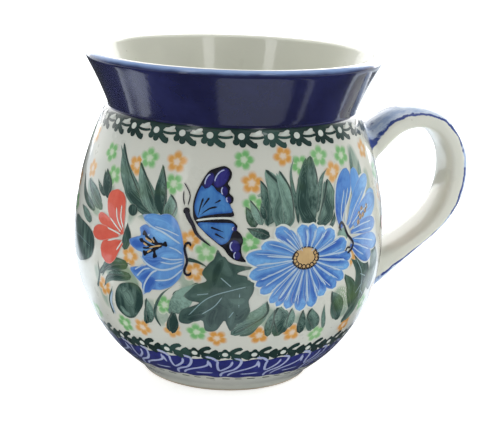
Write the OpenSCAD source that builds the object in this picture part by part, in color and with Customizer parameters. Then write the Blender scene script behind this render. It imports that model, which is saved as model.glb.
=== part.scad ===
// Bubble mug in glazed stoneware: a round belly on a turned foot, a flared collar,
// and a strap handle that is luted on with slip. Millimetres, +Z up.
// The origin is on the belly's axis, in the plane that the foot stands on. The handle points along +X.

/* [Overall] */
// Height from the foot to the top of the lip
mug_h = 100; // [99:0.5:102]
// Thickness of the stoneware wall with its glaze on both sides
wall_t = 4; // [3.5:0.25:4.5]
// Thickness of one coat of glaze
glaze_t = 0.3; // [0.2:0.05:0.4]

/* [Belly] */
// Largest radius of the belly
belly_r = 48; // [46:0.5:50]
// Height of the largest radius
belly_z = 42; // [41:0.5:43]
// Radius of the arc that rounds the belly below its largest radius
belly_low_r = 49; // [48:0.5:50]
// Radius of the flatter arc above it
belly_high_r = 94; // [90:1:98]
// Radius that rounds the shoulder into the neck
shoulder_r = 3; // [2.5:0.25:3.5]
// Height of the shoulder round's centre
shoulder_z = 80.5; // [80:0.25:81]

/* [Collar] */
// Radius of the crease at the neck
neck_r = 37.8; // [37.5:0.1:38.2]
// Largest radius of the lip
lip_r = 44.7; // [44:0.1:45.5]
// Thickness of the collar
collar_t = 3.4; // [3:0.1:3.8]

/* [Foot] */
// Radius of the foot ring where it stands
foot_r = 26.7; // [26:0.1:27.5]
// Radius of the foot ring where it meets the belly
foot_top_r = 29.4; // [29.2:0.1:29.6]
// Width of the foot ring where it stands
foot_ring_w = 4.2; // [3.5:0.1:5]
// Depth of the recess that is turned under the base
recess_h = 2.5; // [2:0.25:3]
// Height of the floor inside
floor_z = 7.5; // [7:0.25:8.5]

/* [Handle] */
// Width of the strap at its middle
strap_w = 15; // [14:0.5:16]
// How far the slip that joins the handle stands proud of the glaze
slip_h = 0.8; // [0.6:0.1:1]
// Width of the bead of slip around the end of the strap
slip_bead = 1.2; // [1:0.1:1.5]

/* [Hidden] */
$fn = 128;
far = 200; // larger than the mug, for half planes

// Profile arcs, as [radius from the axis, height]
low_c = [belly_r - belly_low_r, belly_z];
high_c = [belly_r - belly_high_r, belly_z];
shoulder_reach = belly_high_r - shoulder_r;
shoulder_rise = shoulder_z - belly_z;
shoulder_c = [high_c[0] + sqrt(pow(shoulder_reach, 2) - pow(shoulder_rise, 2)), shoulder_z];
tangent_z = belly_z + belly_high_r * shoulder_rise / shoulder_reach;
neck_z = shoulder_z + sqrt(pow(shoulder_r, 2) - pow(neck_r - shoulder_c[0], 2));
foot_top_z = belly_z - sqrt(pow(belly_low_r, 2) - pow(foot_top_r - low_c[0], 2));
foot_bevel = 0.4;
foot_bare_h = 0.8; // clay left bare above the plane the foot stands on
lip_round = collar_t / 2;
lip_c = [lip_r - lip_round, mug_h - lip_round];

// The collar's outer line runs from the neck crease and touches the lip's round
neck = [neck_r, neck_z];
to_lip = lip_c - neck;
collar_angle = atan2(to_lip[1], to_lip[0]) - asin(lip_round / norm(to_lip));
collar_dir = [cos(collar_angle), sin(collar_angle)];
collar_out = [sin(collar_angle), -cos(collar_angle)];
mid_neck = neck - collar_out * lip_round;

cobalt_top_z = mug_h - 0.9; // where the cobalt glaze stops on the lip

// Handle stations: [x, z, thickness of the strap's side, crown of its back, width over strap_w]
stations = [
    [36.0, 64.5, 9.0, 3.4, 1.16],
    [43.9, 70.6, 5.6, 3.2, 1.12],
    [51.9, 77.4, 4.4, 2.4, 1.02],
    [59.5, 79.4, 4.3, 1.5, 1.00],
    [66.1, 77.3, 4.8, 1.3, 1.00],
    [71.0, 71.0, 5.1, 1.3, 1.00],
    [72.6, 63.0, 5.2, 1.3, 1.00],
    [71.2, 54.0, 5.0, 1.3, 1.00],
    [66.7, 46.3, 4.6, 1.3, 1.00],
    [59.5, 39.9, 4.6, 1.3, 1.01],
    [52.6, 35.2, 5.8, 1.4, 1.06],
    [46.5, 31.6, 8.0, 1.5, 1.14],
    [40.0, 28.0, 10.5, 1.5, 1.20]
];
steps_per_span = 5;
section_points = 32;
section_power = 0.52; // 1 is an ellipse and 0 a rectangle
inner_crown = 0.6;
upper_root_z = 73.2;
lower_root_z = 31.0;
upper_root_h = 13.4;
lower_root_h = 12.6;
root_corner = 5;
root_flare = 1.14;

// Radius at which the foot's side meets the belly, for an outline moved inwards by inset
function foot_join_r(inset) = low_c[0] + sqrt(pow(belly_low_r - inset, 2) - pow(belly_z - foot_top_z, 2));
function sign_pow(v, p) = sign(v) * pow(abs(v), p);

// Catmull-Rom curve through the stations, at span i and share t
function blend4(a, b, c, d, t) = 0.5 * (2 * b + (c - a) * t + (2 * a - 5 * b + 4 * c - d) * t * t
                                        + (3 * b - a - 3 * c + d) * t * t * t);
function station(i) = stations[max(0, min(len(stations) - 1, i))];
function strap_at(u) = let (i = min(floor(u), len(stations) - 2), t = u - i)
    blend4(station(i - 1), station(i), station(i + 1), station(i + 2), t);

// One cross-section of the strap, as points in space
function strap_ring(u, grow) =
    let (here = strap_at(u),
         ahead = strap_at(min(u + 0.01, len(stations) - 1.001)),
         behind = strap_at(max(u - 0.01, 0)),
         along = [ahead[0] - behind[0], ahead[1] - behind[1]] / norm([ahead[0] - behind[0], ahead[1] - behind[1]]),
         outward = [-along[1], along[0]],
         half_w = strap_w * here[4] / 2 + grow,
         half_t = here[2] / 1.76 + grow)
    [for (k = [0 : section_points - 1])
        let (a = 360 * k / section_points,
             side = sign_pow(cos(a), section_power),
             crown = (sin(a) > 0 ? here[3] : -inner_crown) * (1 - side * side),
             depth = half_t * sign_pow(sin(a), section_power) + crown)
        [here[0] + outward[0] * depth, half_w * side, here[1] + outward[1] * depth]];

// Closed sweep of the strap's sections
module strap(grow = 0) {
    rings = steps_per_span * (len(stations) - 1);
    last_u = len(stations) - 1.001;
    n = section_points;
    points = [for (j = [0 : rings]) each strap_ring(last_u * j / rings, grow)];
    sides = [for (j = [0 : rings - 1], k = [0 : n - 1])
        let (a = j * n + k, b = j * n + (k + 1) % n)
        each [[a, b, b + n], [a, b + n, a + n]]];
    first_cap = [for (k = [n - 1 : -1 : 0]) k];
    last_cap = [for (k = [0 : n - 1]) rings * n + k];
    polyhedron(points, concat(sides, [first_cap], [last_cap]), convexity = 6);
}

// Half of the mug's outer outline with nothing hollowed out, moved inwards by inset
module outer_half(inset = 0) {
    intersection() {
        union() {
            foot_half(inset);
            // the arc below the largest radius, which stays inside the arc above it
            intersection() {
                translate(low_c) circle(belly_low_r - inset);
                translate([0, foot_top_z]) square([far, shoulder_z - foot_top_z]);
            }
            // the arc above it, up to where the shoulder's round takes over
            intersection() {
                translate(high_c) circle(belly_high_r - inset);
                translate([0, belly_z]) square([far, tangent_z - belly_z]);
            }
            translate([0, belly_z]) square([shoulder_c[0], shoulder_z + shoulder_r - inset - belly_z]);
            translate(shoulder_c) circle(shoulder_r - inset);
            collar_half(inset);
        }
        square([far, mug_h + 1]);
    }
}

// The foot's side, with a small bevel where it stands
module foot_half(inset) {
    r = foot_r - inset;
    polygon([[0, 0], [r - foot_bevel, 0], [r, foot_bevel], [foot_join_r(inset), foot_top_z],
             [foot_join_r(inset), foot_top_z + 1], [0, foot_top_z + 1]]);
}

// The collar outside, from below the neck to the lip
module collar_half(inset) {
    base = neck - collar_dir * 2 - collar_out * inset;
    touch = lip_c + collar_out * (lip_round - inset);
    polygon([[0, base[1]], base, touch, lip_c, [0, lip_c[1]]]);
    lip_half(inset);
}

module lip_half(inset) {
    translate(lip_c) circle(lip_round - inset);
}

// Half of the hollow inside, made larger by grow on every side and stopped at the lip's round
module hollow_half(grow) {
    inner_base = neck - collar_out * (collar_t - grow) - collar_dir * 4;
    inner_top = inner_base + collar_dir * (norm(to_lip) + 8);
    floor_top = floor_z - grow;
    difference() {
        intersection() {
            union() {
                intersection() {
                    translate(low_c) circle(belly_low_r - wall_t + grow);
                    translate([0, floor_top]) square([far, shoulder_z - floor_top]);
                }
                intersection() {
                    translate(high_c) circle(belly_high_r - wall_t + grow);
                    translate([0, belly_z]) square([far, neck_z - belly_z]);
                }
                polygon([[0, inner_base[1]], inner_base, inner_top, [0, inner_top[1]]]);
            }
            square([far, far]);
        }
        lip_half(grow);
    }
}

// Clay and glaze together at inset 0, clay alone at inset glaze_t
module wall_half(inset) {
    difference() {
        outer_half(inset);
        hollow_half(inset);
    }
}

// Everything glaze, inside and out
module coat_half() {
    difference() {
        wall_half(0);
        wall_half(glaze_t);
        square([far, foot_bare_h]);
    }
}

// The collar's outer side, from the neck up to where the cobalt stops
module cobalt_zone_half() {
    polygon([[mid_neck[0], neck_z], mid_neck, lip_c, [lip_c[0], cobalt_top_z], [far, cobalt_top_z],
             [far, neck_z]]);
}

// The belly's outer side, from the foot up to the neck
module belly_zone_half() {
    difference() {
        square([far, neck_z]);
        hollow_half(glaze_t);
    }
}

// Outline that one end of the strap and its bead of slip cover, as a prism along +X
module root_prism(z, h) {
    w = strap_w * root_flare + 2 * slip_bead;
    translate([belly_r / 2, 0, z])
    rotate([90, 0, 90])
    linear_extrude(belly_r)
    rounded_outline(w, h + 2 * slip_bead, root_corner);
}

module rounded_outline(w, h, r) {
    square([w - 2 * r, h], center = true);
    square([w, h - 2 * r], center = true);
    for (x = [-1, 1], y = [-1, 1])
        translate([x * (w / 2 - r), y * (h / 2 - r)]) circle(r);
}

// Slip between the clay of the body and the end of the strap
module slip_joint(z, h) {
    color("AntiqueWhite")
    intersection() {
        root_prism(z, h);
        rotate_extrude($fn = 180)
        difference() {
            outer_half(-slip_h);
            outer_half(glaze_t);
        }
    }
}

module stoneware_body() {
    color("AntiqueWhite")
    rotate_extrude($fn = 180)
    difference() {
        wall_half(glaze_t);
        square([foot_r - foot_ring_w, recess_h]);
    }
}

module collar_glaze() {
    color("MidnightBlue")
    rotate_extrude($fn = 180)
    intersection() {
        coat_half();
        cobalt_zone_half();
    }
}

module belly_glaze() {
    color("Ivory")
    difference() {
        rotate_extrude($fn = 180)
        intersection() {
            coat_half();
            belly_zone_half();
        }
        root_prism(upper_root_z, upper_root_h);
        root_prism(lower_root_z, lower_root_h);
    }
}

module liner_glaze() {
    color("Linen")
    rotate_extrude($fn = 180)
    difference() {
        coat_half();
        cobalt_zone_half();
        belly_zone_half();
    }
}

module upper_slip_joint() {
    slip_joint(upper_root_z, upper_root_h);
}

module lower_slip_joint() {
    slip_joint(lower_root_z, lower_root_h);
}

module handle() {
    color("Ivory")
    difference() {
        strap();
        rotate_extrude($fn = 180) outer_half(-slip_h);
    }
}

stoneware_body();
handle();
upper_slip_joint();
lower_slip_joint();
collar_glaze();
belly_glaze();
liner_glaze();
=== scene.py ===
# Bubble mug in glazed stoneware, painted by hand under a clear glaze.
# Lengths in the dictionaries are millimetres and angles are degrees, unless a note says otherwise.
# On the belly a place is (turn, rise): turn runs round the mug from the middle of the front, positive to the
# right, and rise runs up the surface from the widest line.
import math
import random

import bpy
import numpy as np
from mathutils import Matrix, Vector
from mathutils.geometry import delaunay_2d_cdt


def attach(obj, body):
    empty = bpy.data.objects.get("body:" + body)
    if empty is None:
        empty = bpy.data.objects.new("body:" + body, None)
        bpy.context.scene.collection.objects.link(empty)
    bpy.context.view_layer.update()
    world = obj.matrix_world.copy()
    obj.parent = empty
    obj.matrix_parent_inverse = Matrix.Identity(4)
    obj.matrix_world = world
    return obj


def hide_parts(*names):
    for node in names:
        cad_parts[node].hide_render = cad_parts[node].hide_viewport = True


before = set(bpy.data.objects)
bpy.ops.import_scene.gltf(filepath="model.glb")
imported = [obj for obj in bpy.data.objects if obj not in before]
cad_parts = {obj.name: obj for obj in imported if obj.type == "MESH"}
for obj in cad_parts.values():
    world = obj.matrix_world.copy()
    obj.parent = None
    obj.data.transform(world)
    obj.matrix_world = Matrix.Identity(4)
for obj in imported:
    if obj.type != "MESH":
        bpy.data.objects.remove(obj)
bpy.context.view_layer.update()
print("frame loaded")

mm = 0.001
frontTurn = -101.8  # from the handle's direction to the middle of the front


# outline of the thrown body

mugShape = {
    "height": 100.0,
    "wall": 4.0,
    "bellyRadius": 48.0,
    "bellyHeight": 42.0,
    "lowArc": 49.0,
    "highArc": 94.0,
    "shoulderRound": 3.0,
    "shoulderHeight": 80.5,
    "neckRadius": 37.8,
    "neckFillet": 0.9,
    "lipRadius": 44.7,
    "collarThickness": 3.4,
    "collarHollow": 0.3,  # how far the collar's side curves in
    "footRadius": 26.7,
    "footTopRadius": 29.4,
    "footRingWidth": 4.2,
    "recess": 2.5,
    "floor": 7.5,
    "bareFoot": 0.8,
    "creamLip": 0.14,  # height of the cream left on top of the lip
    "footSwell": 0.25,
    "footBevel": 0.4,
    "glazeSetBack": 0.3,  # how far the bare ring stands in from the glazed foot
    "floorCorner": 6.0,  # round between the wall and the floor inside
    "collarEnd": 1.0,  # how far short of the neck the straight inside of the collar ends
    "throatDrop": 3.2,
    "throatBend": 1.6,
    "segments": 288,
}
shape = mugShape
lowCentre = (shape["bellyRadius"] - shape["lowArc"], shape["bellyHeight"])
highCentre = (shape["bellyRadius"] - shape["highArc"], shape["bellyHeight"])
shoulderReach = shape["highArc"] - shape["shoulderRound"]
shoulderClimb = shape["shoulderHeight"] - shape["bellyHeight"]
shoulderAngle = math.asin(shoulderClimb / shoulderReach)
shoulderCentre = (highCentre[0] + shoulderReach * math.cos(shoulderAngle), shape["shoulderHeight"])
neckAngle = math.acos((shape["neckRadius"] - shoulderCentre[0]) / shape["shoulderRound"])
footAngle = -math.acos((shape["footTopRadius"] - lowCentre[0]) / shape["lowArc"])


def arcOutline(centre, radius, start, end, step=0.5):
    # rows of (radius from the axis, height, normal outwards, normal upwards)
    count = max(4, int(abs(end - start) * radius / step) + 1)
    angles = np.linspace(start, end, count)
    return np.stack([centre[0] + radius * np.cos(angles), centre[1] + radius * np.sin(angles),
                     np.cos(angles), np.sin(angles)], axis=1)


bellyLine = np.concatenate([
    arcOutline(lowCentre, shape["lowArc"], footAngle, 0.0),
    arcOutline(highCentre, shape["highArc"], 0.0, shoulderAngle)[1:],
    arcOutline(shoulderCentre, shape["shoulderRound"], shoulderAngle, neckAngle, 0.2)[1:],
])
bellyRise = np.concatenate([[0.0], np.cumsum(np.hypot(*np.diff(bellyLine[:, :2], axis=0).T))])
bellyRise -= np.interp(shape["bellyHeight"], bellyLine[:, 1], bellyRise)
footTop = bellyLine[0, :2]
neck = bellyLine[-1, :2]

# the collar's outer line leaves the neck and touches the round of the lip
lipRound = shape["collarThickness"] / 2
lipCentre = np.array([shape["lipRadius"] - lipRound, shape["height"] - lipRound])
toLip = lipCentre - neck
collarAngle = math.atan2(toLip[1], toLip[0]) - math.asin(lipRound / np.hypot(*toLip))
collarAlong = np.array([math.cos(collarAngle), math.sin(collarAngle)])
collarOut = np.array([math.sin(collarAngle), -math.cos(collarAngle)])
collarLength = float(np.dot(lipCentre + collarOut * lipRound - neck, collarAlong))


def onBelly(turn, rise, lift=0.0):
    # place on the belly, lifted off it, in metres
    rise = np.asarray(rise, dtype=float)
    radius, height, out, up = (np.interp(rise, bellyRise, bellyLine[:, k]) for k in range(4))
    angle = np.radians(frontTurn + np.asarray(turn, dtype=float))
    radius = radius + out * lift
    return np.stack([radius * np.cos(angle), radius * np.sin(angle), height + up * lift], axis=-1) * mm


def bellyRadiusAt(rise):
    return np.interp(rise, bellyRise, bellyLine[:, 0])


# mesh helpers

def smoothCurve(points, step, closed=False):
    # Catmull-Rom curve through the points, about one step between samples
    points = np.asarray(points, dtype=float)
    count = len(points)
    spans = count if closed else count - 1
    rows = []
    for i in range(spans):
        if closed:
            a, b, c, d = (points[(i + k) % count] for k in (-1, 0, 1, 2))
        else:
            a, b, c, d = (points[min(max(i + k, 0), count - 1)] for k in (-1, 0, 1, 2))
            a = 2 * b - c if i == 0 else a
            d = 2 * c - b if i == spans - 1 else d
        samples = max(2, int(math.ceil(np.linalg.norm(c - b) / step)))
        for t in np.arange(samples) / samples:
            rows.append(0.5 * (2 * b + (c - a) * t + (2 * a - 5 * b + 4 * c - d) * t * t
                               + (3 * b - a - 3 * c + d) * t ** 3))
    if not closed:
        rows.append(points[-1])
    return np.array(rows)


def meshPiece(name, points, faces, material, values=None, nodes=()):
    # a piece from points in metres, with one number per point for each named value
    mesh = bpy.data.meshes.new(name)
    mesh.from_pydata([tuple(p) for p in points], [], [tuple(f) for f in faces])
    mesh.polygons.foreach_set("use_smooth", [True] * len(mesh.polygons))
    for key, numbers in (values or {}).items():
        layer = mesh.attributes.new(key, "FLOAT", "POINT")
        layer.data.foreach_set("value", np.asarray(numbers, dtype=np.float32))
    mesh.update()
    piece = bpy.data.objects.new(name, mesh)
    bpy.context.scene.collection.objects.link(piece)
    piece.data.materials.append(material)
    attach(piece, "root")
    if nodes:
        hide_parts(*nodes)
    return piece


def turnedPiece(name, outline, material, nodes=()):
    # a piece turned on the wheel from (radius, height) points; its value is the distance along the outline
    outline = np.asarray(outline, dtype=float)
    segments = shape["segments"]
    angles = np.linspace(0, 2 * math.pi, segments, endpoint=False)
    travelled = np.concatenate([[0.0], np.cumsum(np.hypot(*np.diff(outline, axis=0).T))])
    points, along = [], []
    onAxis = [abs(r) < 1e-6 for r, z in outline]
    starts = []
    for (r, z), onIt, gone in zip(outline, onAxis, travelled):
        starts.append(len(points))
        if onIt:
            points.append((0.0, 0.0, z * mm))
            along.append(gone)
        else:
            points.extend((r * math.cos(a) * mm, r * math.sin(a) * mm, z * mm) for a in angles)
            along.extend([gone] * segments)
    faces = []
    for i in range(len(outline) - 1):
        a, b = starts[i], starts[i + 1]
        for k in range(segments):
            n = (k + 1) % segments
            if onAxis[i]:
                faces.append((a, b + n, b + k))
            elif onAxis[i + 1]:
                faces.append((a + k, a + n, b))
            else:
                faces.append((a + k, a + n, b + n, b + k))
    return meshPiece(name, points, faces, material, {"along": along}, nodes)


# paint laid on the belly

paintGrain = {
    "step": 0.8,
    "fillSpacing": 1.1,
    "stackStep": 0.0035,
    "bellyShare": 0.7,  # share of the lift on the belly
    "bendShare": 0.3,  # what the bend under the neck adds to it
    "bendStarts": 35,
    "bendRun": 3,
    "wobble": 0.05,  # how far the width of a broad stroke wavers
    "laneWidth": 2.2,
}
dice = random.Random(20260)


def newPaint(lift, stack=12):
    # stack is how many strokes are laid one above another before the heights start again
    return {"lift": lift, "stack": stack, "count": 0, "points": [], "faces": [],
            "along": [], "across": [], "tone": [], "edge": []}


def nextLift(paint):
    # later strokes of one paint lie a hair above earlier ones
    paint["count"] += 1
    return paint["lift"] + paintGrain["stackStep"] * (paint["count"] % paint["stack"])


def addPaint(paint, turn, rise, lift, faces, along, across, tone, edge):
    # paint lies flatter on the belly than in the tight bend under the neck
    base = len(paint["points"])
    grain = paintGrain
    bend = np.clip((np.asarray(rise) - grain["bendStarts"]) / grain["bendRun"], 0, 1)
    flatter = grain["bellyShare"] + grain["bendShare"] * bend
    paint["points"].extend(onBelly(turn, rise, lift * flatter))
    paint["faces"].extend(tuple(base + int(i) for i in f) for f in faces)
    for key, numbers in (("along", along), ("across", across), ("tone", tone), ("edge", edge)):
        paint[key].extend(np.broadcast_to(numbers, (len(turn),)).tolist())


def strokeWidth(kind, t):
    # share of the full width at t, which runs from 0 to 1 along the stroke
    if kind == "leaf":
        opening = np.sin(math.pi / 2 * np.minimum(t / 0.62, 1.0)) ** 1.15
        closing = 1 - 0.5 * (np.maximum(t - 0.62, 0) / 0.38) ** 2
        return opening * closing * np.sqrt(np.clip(1 - (np.maximum(t - 0.93, 0) / 0.07) ** 2, 0, 1))
    if kind == "blade":
        return np.minimum(1.0, 1.5 * t ** 0.6) * np.clip(1 - t, 0, 1) ** 0.18
    if kind == "oval":
        return np.sin(math.pi * np.clip(t, 0.0, 1.0) ** 0.9) ** 0.45
    if kind == "petal":
        rising = 0.22 + 0.78 * np.sin(math.pi / 2 * np.minimum(t / 0.7, 1.0)) ** 1.2
        falling = np.sqrt(np.clip(1 - (np.maximum(t - 0.7, 0) / 0.3) ** 2, 0, 1))
        return rising * falling
    if kind == "taper":
        return np.clip(1 - t, 0, 1) ** 0.6 * np.clip(t / 0.04, 0, 1) ** 0.5
    return np.clip(np.minimum(t, 1 - t) / 0.06, 0, 1) ** 0.5


def brushStroke(paint, spine, width, kind="line", tone=0.5, lift=None, turn=0.0, fading=0.0, melt=None):
    # a stroke along (turn, rise) points; kind sets how its width runs, and fading how the tone does
    # melt is the tone that a wet stroke runs out to at its sides
    spine = np.asarray(spine, dtype=float) + (turn, 0)
    middle = float(bellyRadiusAt(spine[:, 1].mean()))
    scale = middle * math.pi / 180
    path = smoothCurve(spine * (scale, 1.0), paintGrain["step"])
    if len(path) < 7:
        path = smoothCurve(spine * (scale, 1.0), paintGrain["step"] / 3)
    path = path / (scale, 1.0)
    local = bellyRadiusAt(path[:, 1]) * math.pi / 180
    steps = np.diff(path, axis=0) * np.stack([(local[1:] + local[:-1]) / 2, np.ones(len(path) - 1)], axis=1)
    length = np.concatenate([[0.0], np.cumsum(np.hypot(*steps.T))])
    t = length / length[-1]
    heading = np.gradient(path, axis=0) * np.stack([local, np.ones(len(path))], axis=1)
    heading /= np.linalg.norm(heading, axis=1)[:, None] + 1e-9
    sideways = np.stack([-heading[:, 1], heading[:, 0]], axis=1)
    wobble = 1 + paintGrain["wobble"] * np.sin(length / 2.3 + dice.uniform(0, 6)) * (width > 1.0)
    half = np.maximum(strokeWidth(kind, t) * width * wobble / 2, 0.012)
    lanes = 2 * max(1, int(math.ceil(width / paintGrain["laneWidth"]))) + 1
    across = np.linspace(-1, 1, lanes)
    toTurn = np.stack([local, np.ones(len(path))], axis=1)[:, None, :]
    places = path[:, None, :] + across[None, :, None] * half[:, None, None] * sideways[:, None, :] / toTurn
    faces = [(i * lanes + j, (i + 1) * lanes + j, (i + 1) * lanes + j + 1, i * lanes + j + 1)
             for i in range(len(path) - 1) for j in range(lanes - 1)]
    edge = np.minimum((1 - np.abs(across))[None, :] * half[:, None],
                      np.minimum(length, length[-1] - length)[:, None] * 0.8)
    lift = nextLift(paint) if lift is None else lift
    flat = places.reshape(-1, 2)
    tones = (tone + fading * (t - 0.5))[:, None] + 0 * across[None, :]
    if melt is not None:
        share = (1 - across[None, :] ** 2) * (1 - np.abs(2 * t - 1) ** 3)[:, None]
        tones = melt + fading * (t - 0.5)[:, None] + (tone - melt) * share
        edge = edge + 9
    tones = tones.ravel()
    along = np.repeat(length + dice.uniform(0, 200), lanes)
    across = np.tile(across, len(path))
    addPaint(paint, flat[:, 0], flat[:, 1], lift, faces, along, across, tones, edge.ravel())


def fillShape(paint, outline, tone=0.5, lift=None, turn=0.0):
    # paint inside a closed outline of (turn, rise) points
    outline = np.asarray(outline, dtype=float) + (turn, 0)
    centre = outline.mean(axis=0)
    scale = float(bellyRadiusAt(centre[1])) * math.pi / 180
    flat = (outline - centre) * (scale, 1.0)
    border = smoothCurve(flat, paintGrain["step"], closed=True)
    ahead = np.roll(border, -1, axis=0)
    spacing = paintGrain["fillSpacing"]
    low, high = border.min(axis=0), border.max(axis=0)
    grid = [(x + (k % 2) * spacing / 2, y) for k, y in enumerate(np.arange(low[1], high[1], spacing * 0.87))
            for x in np.arange(low[0], high[0], spacing)]

    def edgeDistance(places):
        places = np.asarray(places, dtype=float).reshape(-1, 2)
        run = ahead - border
        share = np.einsum("pk,sk->ps", places, run) - np.einsum("sk,sk->s", border, run)[None, :]
        share = np.clip(share / (np.einsum("sk,sk->s", run, run)[None, :] + 1e-12), 0, 1)
        nearest = border[None] + share[:, :, None] * run[None]
        return np.sqrt(((places[:, None] - nearest) ** 2).sum(axis=2).min(axis=1))

    def inside(places):
        x, y = places[:, 0:1], places[:, 1:2]
        crossing = (border[None, :, 1] > y) != (ahead[None, :, 1] > y)
        rise = np.where(ahead[:, 1] == border[:, 1], 1e-9, ahead[:, 1] - border[:, 1])
        meets = border[None, :, 0] + (y - border[None, :, 1]) * ((ahead[:, 0] - border[:, 0]) / rise)[None]
        return ((crossing & (x < meets)).sum(axis=1) % 2) == 1

    grid = np.array(grid)
    if len(grid):
        grid = grid[inside(grid)]
    if len(grid):
        grid = grid[edgeDistance(grid) > spacing * 0.45]
    every = [Vector(p) for p in border] + [Vector(p) for p in grid]
    done = delaunay_2d_cdt(every, [], [list(range(len(border)))], 1, 1e-4)
    places = np.array([tuple(v) for v in done[0]])
    lift = nextLift(paint) if lift is None else lift
    addPaint(paint, places[:, 0] / scale + centre[0], places[:, 1] + centre[1], lift, done[2],
             places[:, 1] + dice.uniform(0, 200), places[:, 0] / 4, tone, edgeDistance(places))


def stampBlossom(paint, place, radius, spin, tone):
    # a five-petalled stamp: along holds the share of the way out from its middle
    rings, sectors = 8, 45
    lift = nextLift(paint)
    scale = float(bellyRadiusAt(place[1])) * math.pi / 180
    angles = np.linspace(0, 2 * math.pi, sectors, endpoint=False)
    lobes = radius * (0.68 + 0.32 * np.abs(np.cos(2.5 * (angles - spin))) ** 0.8)
    turn, rise, along, across, edge = [place[0]], [place[1]], [0.0], [0.0], [radius]
    for ring in range(1, rings + 1):
        share = ring / rings
        turn.extend(place[0] + lobes * share * np.cos(angles) / scale)
        rise.extend(place[1] + lobes * share * np.sin(angles))
        along.extend([share] * sectors)
        across.extend(np.abs(np.cos(2.5 * (angles - spin))))
        edge.extend(lobes * (1 - share))
    faces = [(0, 1 + k, 1 + (k + 1) % sectors) for k in range(sectors)]
    for ring in range(rings - 1):
        a = 1 + ring * sectors
        faces.extend((a + k, a + sectors + k, a + sectors + (k + 1) % sectors, a + (k + 1) % sectors)
                     for k in range(sectors))
    addPaint(paint, np.array(turn), np.array(rise), lift, faces, along, across, tone, edge)


def paintPiece(name, paint, material):
    values = {key: paint[key] for key in ("along", "across", "tone", "edge")}
    return meshPiece(name, paint["points"], paint["faces"], material, values)


# shader groups that the glazes and paints share

def newGroup(name, inputs, outputs):
    # a shader node group; inputs are (name, kind, default) and outputs are (name, kind)
    group = bpy.data.node_groups.new(name, "ShaderNodeTree")
    for label, kind, default in inputs:
        socket = group.interface.new_socket(name=label, in_out="INPUT", socket_type="NodeSocket" + kind)
        socket.default_value = default
    for label, kind in outputs:
        group.interface.new_socket(name=label, in_out="OUTPUT", socket_type="NodeSocket" + kind)
    return group, group.nodes.new("NodeGroupInput"), group.nodes.new("NodeGroupOutput")


def addNode(tree, kind, settings=None, **inputs):
    # a node with its settings, and its inputs set to values or linked from sockets
    node = tree.nodes.new("ShaderNode" + kind)
    for key, value in (settings or {}).items():
        setattr(node, key, value)
    for key, value in inputs.items():
        name = int(key[1:]) if key[0] == "i" and key[1:].isdigit() else key.replace("_", " ")
        if isinstance(value, bpy.types.NodeSocket):
            tree.links.new(value, node.inputs[name])
        else:
            node.inputs[name].default_value = value
    return node


def calc(tree, operation, a, b=0.0, c=0.0, clamp=False):
    node = addNode(tree, "Math", {"operation": operation, "use_clamp": clamp}, i0=a, i1=b, i2=c)
    return node.outputs[0]


def blendColour(tree, factor, a, b):
    node = addNode(tree, "Mix", {"data_type": "RGBA", "clamp_factor": True}, i0=factor, i6=a, i7=b)
    return node.outputs[2]


def surfaceValue(tree, name):
    return addNode(tree, "Attribute", {"attribute_name": name}).outputs["Fac"]


def fade(tree, value, low, high):
    node = addNode(tree, "MapRange", {"interpolation_type": "SMOOTHSTEP"}, i0=value, i1=low, i2=high)
    return node.outputs[0]


def noise(tree, place, scale, detail=2.0, roughness=0.5):
    node = addNode(tree, "TexNoise", Vector=place, Scale=scale, Detail=detail, Roughness=roughness)
    return node.outputs["Fac"]


def makeGlazeSkin():
    # the unevenness of a fired glaze: slow waves, a fine orange peel and a few pinholes
    group, given, out = newGroup("glazeSkin", [
        ("Wave", "Float", 1.0), ("Peel", "Float", 0.35), ("Pinholes", "Float", 1.0),
        ("Gloss", "Float", 0.12), ("Gloss Spread", "Float", 0.08)],
        [("Height", "Float"), ("Roughness", "Float")])
    place = addNode(group, "TexCoord").outputs["Object"]
    wave = calc(group, "MULTIPLY", noise(group, place, 55.0, 1.0), given.outputs["Wave"])
    peel = calc(group, "MULTIPLY", noise(group, place, 700.0, 2.0), given.outputs["Peel"])
    cells = addNode(group, "TexVoronoi", {"feature": "F1"}, Vector=place, Scale=170.0)
    pit = calc(group, "SUBTRACT", 1.0, fade(group, cells.outputs["Distance"], 0.03, 0.07))
    rare = calc(group, "GREATER_THAN", noise(group, place, 90.0, 0.0), 0.66)
    pit = calc(group, "MULTIPLY", calc(group, "MULTIPLY", pit, rare), given.outputs["Pinholes"])
    height = calc(group, "SUBTRACT", calc(group, "ADD", wave, peel), pit)
    group.links.new(height, out.inputs["Height"])
    dull = calc(group, "MULTIPLY", noise(group, place, 120.0, 3.0), given.outputs["Gloss Spread"])
    dull = calc(group, "ADD", calc(group, "ADD", dull, given.outputs["Gloss"]),
                calc(group, "MULTIPLY", pit, 0.3))
    group.links.new(dull, out.inputs["Roughness"])
    return group


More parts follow.
